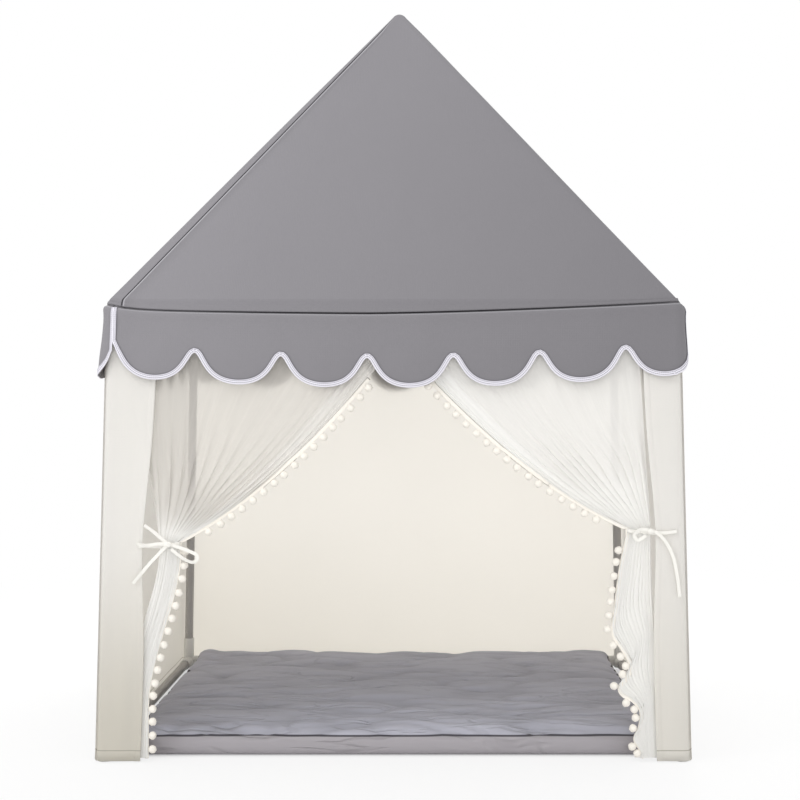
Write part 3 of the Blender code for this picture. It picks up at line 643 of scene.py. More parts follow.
def make_wall(side, material):
    """A side or back wall, hung between its corner posts in loose upright folds."""

    def place(u, v):
        height = mix(WALL_HEM, WALL_TOP, v)
        half = side_half(side, height)
        arc = corner_arc(height)
        s = mix(-half - arc, half + arc, u)
        ratio = min(1.0, abs(s) / half)
        window = (1 - ratio**6) * math.sin(math.pi * min(1.0, v * 0.96 + 0.02)) ** 0.6
        point, normal = on_wall(side, s, height)
        fold = WALL_FOLD * math.sin(3 * math.pi * s / half + 0.6 * ripple(point, 0.5, side)) ** 2
        slack = lumps(squeezed(point, WALL_SQUEEZE), WALL_LUMPS, side)
        point = point - normal * window * (fold + WALL_SET_BACK - slack)
        hem = HEM_PROUD if height < HEM_TOP else 0.0
        return point + normal * hem, (s + 0.7 * side, height), 0.0

    bm = sheet_mesh(WALL_COLUMNS, WALL_ROWS, place)
    wall = finish_mesh(f"{SIDE_NAMES[side]}_wall_cloth", bm, material, WALL_THICKNESS)
    return wall, (2 * side_half(side, 0.0) + RIGHT_ANGLE * WALL_REACH, WALL_TOP - WALL_HEM)


# Widths of the door strips at the top and at the floor, and the heights of the ties beside them
STRIP_TOP_WIDTHS = {-1: 0.126, 1: 0.100}
STRIP_FLOOR_WIDTHS = {-1: 0.092, 1: 0.070}
TIE_HEIGHTS = {-1: 0.438, 1: 0.464}
HAND_NAMES = {-1: "left", 1: "right"}
TIE_PULL = 0.013
STRIP_COLUMNS = 14
# Profile of the folded hem along a door strip's edge: distance from the edge, and reach
STRIP_HEM = (
    (0.0, 0.0), (0.0008, 0.0006), (0.0016, 0.0008), (0.0060, 0.0007), (0.0100, 0.0006), (0.0108, 0.0001),
    (0.0130, 0.0),
)
STRIP_CREASE = 0.0030
STRIP_SQUEEZE = 0.3
STRIP_LUMP = (0.0022, 0.09, 21.0)
HEADER_BOTTOM = 0.836
HEADER_WIDTH = 0.98
HEADER_GAP = 0.0003
HEADER_LUMP = (0.0008, 0.08, 31.0)


def strip_edge(hand, height):
    """The door edge of a door strip, which its curtain's tie draws towards the corner."""
    pull = TIE_PULL * bump_at(height, TIE_HEIGHTS[hand], 0.16)
    width = mix(STRIP_FLOOR_WIDTHS[hand], STRIP_TOP_WIDTHS[hand], height / WALL_TOP)
    return sizes().half_width - width + pull


def make_door_strip(hand, material):
    """A narrow door strip with a folded hem along its edge."""

    def place(u, v):
        height = mix(WALL_HEM, WALL_TOP, v)
        half = post_x(height)
        edge = strip_edge(hand, height)
        places = [(edge + across, proud) for across, proud in STRIP_HEM]
        start, end = edge + STRIP_HEM[-1][0], half + corner_arc(height)
        places += [(s, 0.0) for s in spaced(start, end, STRIP_COLUMNS)[1:]]
        s, proud = listed(places, u if hand > 0 else 1 - u)
        point, normal = on_wall(FRONT, hand * s, height)
        window = 1 - min(1.0, s / half) ** 4
        crease = STRIP_CREASE * bump_at(s - edge, 0.030 + 0.02 * (height - 0.45), 0.012)
        crease *= ease((0.62 - abs(height - 0.30)) / 0.3)
        slack = lumps(squeezed(point, STRIP_SQUEEZE), [STRIP_LUMP], hand) - crease
        return point + normal * (proud + window * slack), (hand * s, height), 0.0

    bm = sheet_mesh(len(STRIP_HEM) + STRIP_COLUMNS - 1, WALL_ROWS, place)
    strip = finish_mesh(f"{HAND_NAMES[hand]}_door_strip", bm, material, WALL_THICKNESS)
    width = (STRIP_TOP_WIDTHS[hand] + STRIP_FLOOR_WIDTHS[hand]) / 2
    return strip, (width, WALL_TOP - WALL_HEM)


def make_header(material):
    """The strip behind the front valance that joins the door strips and carries the curtains."""

    def place(u, v):
        height = mix(HEADER_BOTTOM, WALL_TOP, v)
        s = mix(HEADER_GAP - strip_edge(-1, height), strip_edge(1, height) - HEADER_GAP, u)
        point, normal = on_wall(FRONT, s, height)
        return point + normal * lumps(point, [HEADER_LUMP]), (s, height), 0.0

    header = finish_mesh("door_header_cloth", sheet_mesh(48, 6, place), material, WALL_THICKNESS)
    return header, (HEADER_WIDTH, WALL_TOP - HEADER_BOTTOM)


# Curtains

# The curtains hang on this plane, inside the door strips, and are cut to this width and length
CURTAIN_PLANE = 0.0146
CURTAIN_CUT = 0.585
CURTAIN_LENGTH = 0.95
HEADING_HEIGHT = 0.895
CURTAIN_HEM = 0.008
CURTAIN_ROWS = (80, 60)
PLEAT_COLUMNS = 10
HALF_TIE = 0.0045
# Outer and inner edge of each curtain at its heading, its tie and its hem
HEADINGS = {-1: (0.540, -0.045), 1: (0.4925, -0.035)}
WAISTS = {-1: (0.472, 0.432), 1: (0.520, 0.474)}
HEMS = {-1: (0.545, 0.497), 1: (0.532, 0.462)}
# Inner edge of the right curtain below its tie, as pairs of distance across and height
RIGHT_EDGE = (
    (0.474, 0.460), (0.462, 0.405), (0.455, 0.360), (0.448, 0.305), (0.4435, 0.276), (0.448, 0.252),
    (0.464, 0.228), (0.481, 0.194), (0.470, 0.168), (0.457, 0.152), (0.463, 0.137), (0.484, 0.125),
    (0.500, 0.104), (0.497, 0.070), (0.488, 0.046), (0.503, 0.020), (0.500, 0.008),
)
# How far the inner edge sags, and how far the right curtain lies over the left one
EDGE_SAG = 0.050
OVERLAP = 0.0075
# How far pleats crowd to the inner edge, and their depths: at the heading and above the tie, the
# pinch at the tie, just below the tie and further down, and along the inner edge
PLEAT_CROWDING = 1.6
UPPER_DEPTHS = (0.0006, 0.0064)
PINCH = 0.0030
LOWER_DEPTHS = (0.0034, 0.0052)
EDGE_DEPTH = 0.0014
# Where the cloth is gathered its pleats lie down sideways on each other, like shingles
PLEAT_LEAN = 1.10
PLEAT_FLATTENING = 0.62
SWAY = 0.0030
# How dense each voile looks before it is gathered; density also makes the cloth lighter in its finish, so the
# right curtain's higher density is partly painted light
FULLNESS = {-1: 0.0, 1: 0.80}


def smooth_path(points, fraction):
    """A place on a smooth path through the points."""
    spot = min(len(points) - 1.000001, max(0.0, fraction * (len(points) - 1)))
    i = int(spot)
    t = spot - i
    a, b, c, d = (Vector(points[min(len(points) - 1, max(0, k))]) for k in (i - 1, i, i + 1, i + 2))
    cubic = a * (-t + 2 * t**2 - t**3) + b * (2 - 5 * t**2 + 3 * t**3)
    return (cubic + c * (t + 4 * t**2 - 3 * t**3) + d * (t**3 - t**2)) / 2


def curtain_point(hand, w, v):
    """A place on a curtain: w from the outer to the inner edge, v from the heading to the hem.

    The pleats are evenly spaced in w, and crowd towards the inner edge of the cloth.
    """
    u = 1 - (1 - w) ** PLEAT_CROWDING
    tie_height = TIE_HEIGHTS[hand]
    pleats = sizes().curtain_pleats
    crossing = 0.0
    if v <= 0.5:
        t = 2 * v
        across = mix(mix(*HEADINGS[hand], u), mix(*WAISTS[hand], u), t)
        height = mix(HEADING_HEIGHT, tie_height + HALF_TIE, t) - EDGE_SAG * u * u * 4 * t * (1 - t)
        depth = mix(*UPPER_DEPTHS, ease((t - 0.34) / 0.50) ** 1.5) - PINCH * ease((t - 0.84) / 0.16)
        depth = max(depth, EDGE_DEPTH * ease((u - 0.76) / 0.16))
        width = mix(HEADINGS[hand][0] - HEADINGS[hand][1], WAISTS[hand][0] - WAISTS[hand][1], t)
        if hand > 0:
            crossing = OVERLAP * ease((0.13 - across) / 0.10) * ease((0.64 - t) / 0.4)
    else:
        t = 2 * v - 1
        opened = ease(t * 1.3)
        inner = mix(WAISTS[hand][1], HEMS[hand][1], opened)
        height = mix(tie_height - HALF_TIE, CURTAIN_HEM, t)
        if hand > 0:
            inner, edge_height = smooth_path(RIGHT_EDGE, t)
            height = mix(height, edge_height - HALF_TIE * (1 - t), u * u)
        across = mix(mix(WAISTS[hand][0], HEMS[hand][0], opened), inner, u)
        depth = mix(*LOWER_DEPTHS, ease(t * 3.0))
        width = mix(WAISTS[hand][0] - WAISTS[hand][1], HEMS[hand][0] - HEMS[hand][1], opened)
    uneven = 0.072 * ripple(Vector((w, v * 1.2, hand * 2.0)), 0.35, 41.0)
    uneven += 0.018 * ripple(Vector((w * 3.0, v * 0.5, hand * 7.0)), 0.2, 47.0)
    phase = 2 * math.pi * pleats * (w + uneven * min(1.0, 8 * w, 8 * (1 - w)))
    fold = math.cos(phase) - 0.16 * math.cos(3 * phase)
    gather = CURTAIN_CUT / max(0.02, width)
    lying = ease((gather - 1.3) / 2.5)
    depth *= 1.04 + 0.30 * ripple(Vector((u, v, hand * 5.0)), 0.15, 43.0)
    depth *= 1.0 + 0.35 * ripple(Vector((w, v * 0.4, hand * 9.0)), 0.05, 49.0)
    edge = min(1.0, (1 - u) / 0.02)
    across += PLEAT_LEAN * depth * fold * lying * min(1.0, 9 * w, 9 * (1 - w))
    depth *= 1 - PLEAT_FLATTENING * lying
    plane = post_y(height) + CURTAIN_PLANE - 1.16 * abs(depth)
    sway = SWAY * ripple(Vector((across, height * 0.5, 0.0)), 0.2, 45.0 + hand) * math.sin(math.pi * v)
    y = -(plane - fold * depth * edge) + crossing + abs(sway)
    return Vector((hand * across, y, height)), gather, u


def make_curtain(hand, material):
    """A sheer curtain, gathered by its tie into pleats that fan out above and below it."""
    columns = PLEAT_COLUMNS * sizes().curtain_pleats
    above, below = CURTAIN_ROWS
    rows = spaced(1.0, 0.5, below)[:-1] + [0.5001, 0.5] + spaced(0.5, 0.0, above)[1:]

    def place(spot, v):
        across = 1 - spot if hand > 0 else spot
        row = listed(rows, v)
        point, gather, u = curtain_point(hand, across, row)
        # Density of the cloth, gathered or doubled; the finish also paints dense cloth lighter, partly as
        # painted light
        dense = FULLNESS[hand] + ease((gather - 1.6) / 9.0) + 0.4 * ease((u - 0.88) / 0.04)
        return point, (u * CURTAIN_CUT, (1 - row) * CURTAIN_LENGTH), min(1.0, dense)

    bm = sheet_mesh(columns, len(rows) - 1, place)
    return finish_mesh(f"{HAND_NAMES[hand]}_sheer_curtain", bm, material, smooth_angle=180.0)


# The trim starts at this height, out of sight behind the valance
TRIM_TOP = 0.775
TRIM_STEPS = 400
TRIM_TAPE = (-0.0030, 0.0050)
TRIM_THICKNESS = 0.0010
TRIM_PROUD = 0.0008
POMPOM_STEM = 0.0045
POMPOM_PROUD = 0.0006
# No pom-pom hangs nearer to the tie, or lower, than this
TIE_CLEARANCE = 0.014
LOWEST_POMPOM = 0.012
# Tufts and lumps of a pom-pom: a share of its radius, and how many to a metre
TUFTS = (0.16, 520.0)
YARN_LUMPS = (0.08, 140.0)


def edge_path(hand):
    """The inner edge of a curtain, as points and directions away from the cloth."""
    points = [curtain_point(hand, 1.0, v)[0] for v in spaced(0.0, 1.0, TRIM_STEPS)]
    points = [p for p in points if p.z < TRIM_TOP]
    path = []
    for i, point in enumerate(points):
        along = points[min(len(points) - 1, i + 3)] - points[max(0, i - 3)]
        path.append((point, Vector((hand * along.z, 0, -hand * along.x)).normalized()))
    return path


def make_trim(hand, material):
    """The tape sewn to a curtain's inner edge and its row of yarn pom-poms."""
    tent = sizes()
    path = edge_path(hand)
    walked = walked_along([point for point, _ in path])

    def place(u, v):
        point, away = listed(path, v)
        out = mix(*TRIM_TAPE, u if hand < 0 else 1 - u)
        return point + away * out - Vector((0, TRIM_PROUD, 0)), (out, listed(walked, v)), 0.0

    trim = sheet_mesh(3, len(path) - 1, place)
    bmesh.ops.solidify(trim, geom=trim.faces[:], thickness=TRIM_THICKNESS)
    waiting = tent.pompom_pitch / 2
    for i in range(1, len(path)):
        if walked[i] < waiting:
            continue
        point, away = path[i]
        centre = point + away * (POMPOM_STEM + tent.pompom_radius) - Vector((0, POMPOM_PROUD, 0))
        waiting += tent.pompom_pitch
        if abs(centre.z - TIE_HEIGHTS[hand]) > TIE_CLEARANCE and centre.z > LOWEST_POMPOM:
            add_pompom(trim, centre, i + 1000 * (hand > 0))
    bmesh.ops.recalc_face_normals(trim, faces=trim.faces)
    return finish_mesh(f"{HAND_NAMES[hand]}_pompom_fringe", trim, material, smooth_angle=180.0)


def add_pompom(trim, centre, seed):
    """A ball of cut yarn: tufts of slightly uneven length round a core."""
    tone = trim.verts.layers.float["shade"]
    made = bmesh.ops.create_icosphere(trim, subdivisions=3, radius=sizes().pompom_radius)
    for vert in made["verts"]:
        tuft = noise.noise(vert.co * TUFTS[1] + Vector((seed * 3.1, 0, 0)))
        lump = noise.noise(vert.co * YARN_LUMPS[1] + Vector((0, seed * 1.7, 0)))
        vert.co = vert.co * (1.0 + TUFTS[0] * tuft + YARN_LUMPS[0] * lump) + centre
        vert[tone] = 0.5 + 0.5 * tuft


# Ties and bows

BOW_TAPE = 0.0068
TIE_TAPE = 0.00765
TAPE_THICKNESS = 0.0009

# Middle lines of the bows' tapes from the knot, as across, out from the tent and up: on the left
# two short ends, a loop and a long end, and on the right a long end and a loop
BOWS = {
    -1: (
        ((0, 0, 0), (-0.014, 0.002, 0.012), (-0.030, 0.003, 0.026), (-0.048, 0.001, 0.038)),
        ((0, 0, 0), (-0.020, 0.003, 0.001), (-0.040, 0.003, -0.002), (-0.059, 0.001, -0.005)),
        (
            (0, 0, 0), (0.020, 0.004, -0.005), (0.042, 0.005, -0.013), (0.056, 0.005, -0.020),
            (0.059, 0.005, -0.029), (0.049, 0.004, -0.036), (0.030, 0.003, -0.028), (0.006, 0.002, -0.010),
        ),
        (
            (0, 0, 0), (-0.016, 0.003, -0.016), (-0.040, 0.003, -0.042), (-0.055, 0.002, -0.060),
            (-0.071, 0.001, -0.079),
        ),
    ),
    1: (
        (
            (0, 0, 0), (0.012, 0.003, -0.003), (0.030, 0.003, -0.022), (0.045, 0.003, -0.053),
            (0.053, 0.002, -0.092), (0.058, 0.001, -0.132),
        ),
        (
            (0, 0, 0), (-0.010, 0.004, 0.004), (-0.024, 0.005, 0.003), (-0.034, 0.005, -0.008),
            (-0.026, 0.004, -0.017), (-0.010, 0.002, -0.008),
        ),
    ),
}
BOW_TWIST = 0.45
BOW_SET_BACK = 0.002
# Distance of the knots and of the straps' outer ends from the middle of the tent
KNOTS = {-1: 0.452, 1: 0.518}
STRAPS = {-1: 0.515, 1: 0.572}
KNOT_PROUD = 0.0075
KNOT_RADII = (0.0068, 0.0036, 0.0058)
# Lumps of a knot: a share of its radii, and how many to a radius
KNOT_LUMPS = (0.22, 1.6)
# The ring of a tie: its clearance round the cloth, its front and back from the wall and the
# curtain, how square it is, and its steps
RING_CLEARANCE = 0.0022
RING_FRONT = 0.0030
RING_BACK = 0.0180
RING_SQUARENESS = 0.35
RING_STEPS = 48
RING_LIFT = 0.0008
STRAP_STEPS = 16
STRAP_SAG = 0.004
STRAP_PROUD = 0.0012


def ribbon(path, across, width):
    """A flat tape along a path; across gives the direction of its width at each point."""
    walked = walked_along(path)

    def place(u, v):
        point, side = listed(path, v), listed(across, v)
        return point + side * width * (u - 0.5), ((u - 0.5) * width, listed(walked, v)), 0.0

    return sheet_mesh(4, len(path) - 1, place)


def joined(parts):
    """One bmesh of several."""
    whole = bmesh.new()
    for part in parts:
        mesh = bpy.data.meshes.new("part")
        part.to_mesh(mesh)
        part.free()
        whole.from_mesh(mesh)
        bpy.data.meshes.remove(mesh)
    return whole


def squared(value):
    """A sine or cosine drawn out towards 1 or -1, which turns a circle into a rounded square."""
    return math.copysign(abs(value) ** RING_SQUARENESS, value)


def make_tie(hand, material):
    """The tape round a gathered curtain, with its end lapped over the door strip."""
    height = TIE_HEIGHTS[hand]
    outer, inner = WAISTS[hand]
    middle = (outer + inner) / 2
    half = (outer - inner) / 2 + RING_CLEARANCE
    front = post_y(height) + WALL_REACH + RING_FRONT
    back = post_y(height) + CURTAIN_PLANE - RING_BACK
    ring = []
    for angle in spaced(0.0, 2 * math.pi, RING_STEPS):
        x = squared(math.cos(angle)) * half
        y = squared(math.sin(angle)) * (front - back) / 2
        lift = RING_LIFT * math.sin(3 * angle)
        ring.append(Vector((hand * (middle + x), -(front + back) / 2 - y, height + lift)))
    strap = []
    for share in spaced(0.0, 1.0, STRAP_STEPS):
        x = mix(middle, STRAPS[hand], share)
        strap.append(Vector((hand * x, -front - STRAP_PROUD, height - STRAP_SAG * math.sin(math.pi * share))))
    tapes = [ribbon(path, [UP] * len(path), TIE_TAPE) for path in (ring, strap)]
    return finish_mesh(f"{HAND_NAMES[hand]}_tie_tape", joined(tapes), material, TAPE_THICKNESS)


def make_bow(hand, material):
    """The knot in front of a tie, with its loop and its loose ends."""
    height = TIE_HEIGHTS[hand]
    centre = Vector((hand * KNOTS[hand], -(post_y(height) + WALL_REACH + KNOT_PROUD), height))
    tapes = []
    for line in BOWS[hand]:
        count = 10 * len(line)
        path = [smooth_path(line, i / count) for i in range(count + 1)]
        path = [centre + Vector((x, BOW_SET_BACK - y, z)) for x, y, z in path]
        across = []
        for i in range(len(path)):
            along = (path[min(len(path) - 1, i + 1)] - path[max(0, i - 1)]).normalized()
            twist = BOW_TWIST * math.sin(i / count * 7.0 + hand)
            facing = Vector((0, -math.cos(twist), math.sin(twist)))
            across.append(along.cross(facing).normalized())
        tapes.append(ribbon(path, across, BOW_TAPE))
    bow = joined(tapes)
    bmesh.ops.solidify(bow, geom=bow.faces[:], thickness=TAPE_THICKNESS)
    knot = bmesh.new()
    bmesh.ops.create_uvsphere(knot, u_segments=20, v_segments=12, radius=1.0)
    for vert in knot.verts:
        lump = 1 + KNOT_LUMPS[0] * noise.noise(vert.co * KNOT_LUMPS[1] + Vector((hand, 0, 0)))
        vert.co = centre + vert.co * Vector(KNOT_RADII) * lump
    return finish_mesh(f"{HAND_NAMES[hand]}_tape_bow", joined([bow, knot]), material)


# Floor mat

MAT_HALF = (0.556, 0.461)
MAT_MIDDLE_Y = -0.002
MAT_BOTTOM = 0.002
MAT_THICKNESS = 0.044
MAT_CORNER = 0.030
MAT_VOXEL = 0.0095
MAT_SWELL = 0.012
MAT_SEAM = 0.0405
MAT_FRAMES = 20
MAT_UNDERSIDE = 0.0006
# The cover's soft lumps, its small wrinkles, how far its creases sink, its mean rise, its pull at
# the seam and the pleats of its sides
MAT_LUMP = (0.0044, 0.16, 51.0)
MAT_WRINKLE = 0.0030
MAT_CREASE = 0.0075
MAT_RISE = 0.0030
MAT_PULL = 0.0030
MAT_PLEAT = (0.0016, 0.045, 59.0)


def mat_blank():
    """The cut shape of the mat before it is filled: a slab with rounded upright corners."""
    bm = bmesh.new()
    bmesh.ops.create_cube(bm, size=2.0)
    upright = [e for e in bm.edges if abs(e.verts[0].co.z - e.verts[1].co.z) > 1]
    for vert in bm.verts:
        vert.co.x *= MAT_HALF[0]
        vert.co.y = vert.co.y * MAT_HALF[1] + MAT_MIDDLE_Y
        vert.co.z = MAT_BOTTOM + MAT_THICKNESS * (vert.co.z + 1) / 2
    bmesh.ops.bevel(
        bm, geom=upright, offset=MAT_CORNER, offset_type="OFFSET", segments=6, profile=0.5, affect="EDGES",
        material=-1,
    )
    return bm


def mat_wrinkle(place):
    """Slack of the cover over the wadding: long shallow creases that run mostly across the mat, with painted
    shade in them and painted highlight between.
    """
    inside = min(MAT_HALF[0] - abs(place.x), MAT_HALF[1] - abs(place.y - MAT_MIDDLE_Y))
    top = ease((place.z - 0.030) / 0.012) * ease((inside - 0.002) / 0.018)
    long = Vector((place.x * 0.30 + place.y * 0.08, place.y - place.x * 0.10, 0.0))
    slanted = Vector((place.x * 0.34 - place.y * 0.20, place.y * 0.9 + place.x * 0.22, 3.0))
    creases = (1 - abs(ripple(long, 0.062, 55.0))) ** 8 + 0.9 * (1 - abs(ripple(slanted, 0.085, 57.0))) ** 10
    fine = ripple(long, 0.040, 53.0)
    lift = lumps(place, [MAT_LUMP]) + MAT_WRINKLE * fine - MAT_CREASE * creases + MAT_RISE
    seam = -MAT_PULL * bump_at(inside, 0.012, 0.012)
    side = ease((0.040 - place.z) / 0.010) * ease((place.z - 0.004) / 0.010) * ease((0.012 - inside) / 0.010)
    pleat = side * lumps(squeezed(place, 0.4), [MAT_PLEAT])
    move = Vector((
        math.copysign(pleat, place.x) if abs(place.x) > MAT_HALF[0] - 0.02 else 0.0,
        math.copysign(pleat, place.y) if abs(place.y) > MAT_HALF[1] - 0.02 else 0.0,
        top * (lift + seam),
    ))
    # The second value is painted shade in the creases and painted highlight between them
    return move, top * (0.22 * min(1.0, creases) - 0.12 * (fine + 0.4))


def filled_by_simulation(piece):
    """Swells a blank into a padded shape with cloth pressure, and keeps the result as its mesh."""
    scene = bpy.context.scene
    rest = [v.co.copy() for v in piece.data.vertices]
    cloth = piece.modifiers.new("Filling", "CLOTH")
    cloth.settings.quality = 4
    cloth.settings.mass = 0.3
    cloth.settings.tension_stiffness = 12.0
    cloth.settings.compression_stiffness = 12.0
    cloth.settings.bending_stiffness = 0.4
    cloth.settings.shrink_min = -0.045
    cloth.settings.use_pressure = True
    cloth.settings.uniform_pressure_force = 4.0
    cloth.settings.effector_weights.gravity = 0.0
    cloth.point_cache.frame_start = 1
    cloth.point_cache.frame_end = MAT_FRAMES
    for frame_number in range(1, MAT_FRAMES + 1):
        scene.frame_set(frame_number)
    graph = bpy.context.evaluated_depsgraph_get()
    swollen = bpy.data.meshes.new_from_object(piece.evaluated_get(graph))
    moved = [v.co.copy() for v in swollen.vertices]
    piece.modifiers.remove(cloth)
    scene.frame_set(1)
    for vert, start, end in zip(piece.data.vertices, rest, moved):
        step = end - start
        vert.co = start + step * min(1.0, MAT_SWELL / max(step.length, 1e-9))


def make_mat(material):
    """The padded floor mat, filled by cloth simulation and pressed flat where it lies."""
    blank = finish_mesh("mat_blank", mat_blank(), material)
    remesh = blank.modifiers.new("Even faces", "REMESH")
    remesh.mode = "VOXEL"
    remesh.voxel_size = MAT_VOXEL
    graph = bpy.context.evaluated_depsgraph_get()
    mesh = bpy.data.meshes.new_from_object(blank.evaluated_get(graph))
    bpy.data.objects.remove(blank, do_unlink=True)
    piece = bpy.data.objects.new("padded_floor_mat", mesh)
    bpy.context.scene.collection.objects.link(piece)
    filled_by_simulation(piece)
    shade = mesh.attributes.new("shade", "FLOAT", "POINT")
    for vert, tone in zip(mesh.vertices, shade.data):
        move, tone.value = mat_wrinkle(vert.co)
        vert.co += move
        vert.co.z = max(MAT_UNDERSIDE, vert.co.z)
    mesh.materials.clear()
    mesh.materials.append(material)
    mesh.shade_smooth()
    finer = piece.modifiers.new("Finer surface", "SUBSURF")
    finer.levels = 1
    finer.render_levels = 1
    return piece


# Finishes


def add_node(tree, kind, inputs=None, **settings):
    """Adds a node with its settings; an input is a plain value, or the socket that it is linked to."""
    node = tree.nodes.new(kind)
    for key, value in settings.items():
        setattr(node, key, value)
    for key, value in (inputs or {}).items():
        if isinstance(value, bpy.types.NodeSocket):
            tree.links.new(value, node.inputs[key])
        else:
            node.inputs[key].default_value = value
    return node


def new_finish(name, roughness, sheen=0.0, specular=0.25):
    """A material with only its shader and output, and the shader's plain values."""
    material = bpy.data.materials.new(name)
    material.use_nodes = True
    tree = material.node_tree
    shader = tree.nodes["Principled BSDF"]
    shader.inputs["Roughness"].default_value = roughness
    shader.inputs["Specular IOR Level"].default_value = specular
    shader.inputs["Sheen Weight"].default_value = sheen
    shader.inputs["Sheen Roughness"].default_value = 0.5
    return material, tree, shader


def wave_scale(period):
    """The Scale of a Wave texture whose bands are that many metres apart."""
    return math.pi / 10 / period


def dark_and_light(colour, spread):
    """Both ends of a mix that makes a colour darker and lighter, by the share called spread."""
    dark, light = ([min(1.0, c * gain) for c in srgb(colour)[:3]] for gain in (1 - spread, 1 + spread))
    return {"A": (*dark, 1), "B": (*light, 1)}


# Length of the thicker and thinner stretches of a yarn, which mottle a woven cloth
SLUB = 1 / 180


def woven(tree, shader, colour, thread, relief, mottle, patch):
    """Warp and weft at a thread spacing, over slow changes of tone in patches; both sizes in metres."""
    uv = add_node(tree, "ShaderNodeUVMap", uv_map="UVMap").outputs["UV"]
    place = add_node(tree, "ShaderNodeTexCoord").outputs["Object"]
    bands = {"Vector": uv, "Scale": wave_scale(thread), "Distortion": 0.6, "Detail": 1.0}
    warp, weft = (
        add_node(tree, "ShaderNodeTexWave", bands, bands_direction=axis).outputs["Fac"] for axis in "XY"
    )
    cloth = add_node(tree, "ShaderNodeMath", {0: warp, 1: weft}, operation="MULTIPLY").outputs[0]
    slow = add_node(tree, "ShaderNodeTexNoise", {"Vector": place, "Scale": 1 / patch, "Detail": 3.0})
    fine = add_node(tree, "ShaderNodeTexNoise", {"Vector": place, "Scale": 1 / SLUB, "Detail": 2.0})
    tones = {"Factor": 0.3, "A": slow.outputs["Fac"], "B": fine.outputs["Fac"]}
    tone = add_node(tree, "ShaderNodeMix", tones, data_type="FLOAT")
    tones = {"Factor": 0.25, "A": tone.outputs["Result"], "B": cloth}
    tone = add_node(tree, "ShaderNodeMix", tones, data_type="FLOAT")
    tones = {"Factor": tone.outputs["Result"], **dark_and_light(colour, mottle)}
    base = add_node(tree, "ShaderNodeMix", tones, data_type="RGBA").outputs["Result"]
    tree.links.new(base, shader.inputs["Base Color"])
    raised = {"Height": cloth, "Strength": relief, "Distance": 0.0006}
    normal = add_node(tree, "ShaderNodeBump", raised).outputs["Normal"]
    tree.links.new(normal, shader.inputs["Normal"])
    return uv, place, base, normal


def painted_crease_shading(tree, base, dark, light):
    """Painted shade in seams and creases and a painted highlight on pressed edges and ridges, as the shade on
    the mesh says.
    """
    shade = add_node(tree, "ShaderNodeAttribute", attribute_name="shade", attribute_type="GEOMETRY")
    shade = shade.outputs["Fac"]
    # Painted shade where the shade on the mesh is above 0, painted highlight where it is below 0
    painted_shade = add_node(tree, "ShaderNodeMix", {"Factor": shade, "A": base, "B": srgb(dark)}, data_type="RGBA")
    raised = add_node(tree, "ShaderNodeMath", {0: shade, 1: -1.0}, operation="MULTIPLY")
    tones = {"Factor": raised.outputs[0], "A": painted_shade.outputs["Result"], "B": srgb(light)}
    return add_node(tree, "ShaderNodeMix", tones, data_type="RGBA").outputs["Result"]


def line_at(tree, across, place, half):
    """1 on a line at a place across the cloth, falling to 0 at half its width, all in metres."""
    off = add_node(tree, "ShaderNodeMath", {0: across, 1: place}, operation="SUBTRACT")
    off = add_node(tree, "ShaderNodeMath", {0: off.outputs[0]}, operation="ABSOLUTE")
    fall = {"Value": off.outputs[0], "From Min": half, "From Max": half * 0.4, "To Min": 0.0, "To Max": 1.0}
    return add_node(tree, "ShaderNodeMapRange", fall).outputs["Result"]


def stitched(tree, uv, base, rows, length, colour, strength):
    """Two rows of stitches along a tape: dashes of one length, at places across it, in metres."""
    parts = add_node(tree, "ShaderNodeSeparateXYZ", {0: uv})
    swing = add_node(tree, "ShaderNodeMath", {0: parts.outputs["X"], 1: length / 2}, operation="PINGPONG")
    ends = {"Value": swing.outputs[0], "From Min": length * 0.04, "From Max": length * 0.12}
    dash = add_node(tree, "ShaderNodeMapRange", ends).outputs["Result"]
    lines = [line_at(tree, parts.outputs["Y"], row, 0.0010) for row in rows]
    seen = add_node(tree, "ShaderNodeMath", {0: lines[0], 1: lines[1]}, operation="MAXIMUM").outputs[0]
    for share in (dash, strength):
        seen = add_node(tree, "ShaderNodeMath", {0: seen, 1: share}, operation="MULTIPLY").outputs[0]
    tones = {"Factor": seen, "A": base, "B": srgb(colour)}
    mixed = add_node(tree, "ShaderNodeMix", tones, data_type="RGBA")
    return mixed.outputs["Result"], parts.outputs["Y"]


def let_light_through(tree, shader, colour_socket, share):
    """Mixes in the light from behind that thin cloth passes on."""
    through = add_node(tree, "ShaderNodeBsdfTranslucent", {"Color": colour_socket})
    both = add_node(tree, "ShaderNodeMixShader", {0: share, 1: shader.outputs[0], 2: through.outputs[0]})
    tree.links.new(both.outputs[0], tree.nodes["Material Output"].inputs["Surface"])
    return both.outputs[0]


def soft_folds(tree, shader, place, normal, scale, height):
    """Shallow folds over the weave, a height in metres deep and 1/scale metres wide on each axis."""
    drawn = add_node(tree, "ShaderNodeMapping", {"Vector": place, "Scale": scale})
    lie = {"Vector": drawn.outputs[0], "Scale": 1.0, "Detail": 2.0, "Distortion": 0.5}
    folds = add_node(tree, "ShaderNodeTexNoise", lie)
    raised = {"Height": folds.outputs["Fac"], "Strength": 1.0, "Distance": height, "Normal": normal}
    folded = add_node(tree, "ShaderNodeBump", raised)
    tree.links.new(folded.outputs["Normal"], shader.inputs["Normal"])


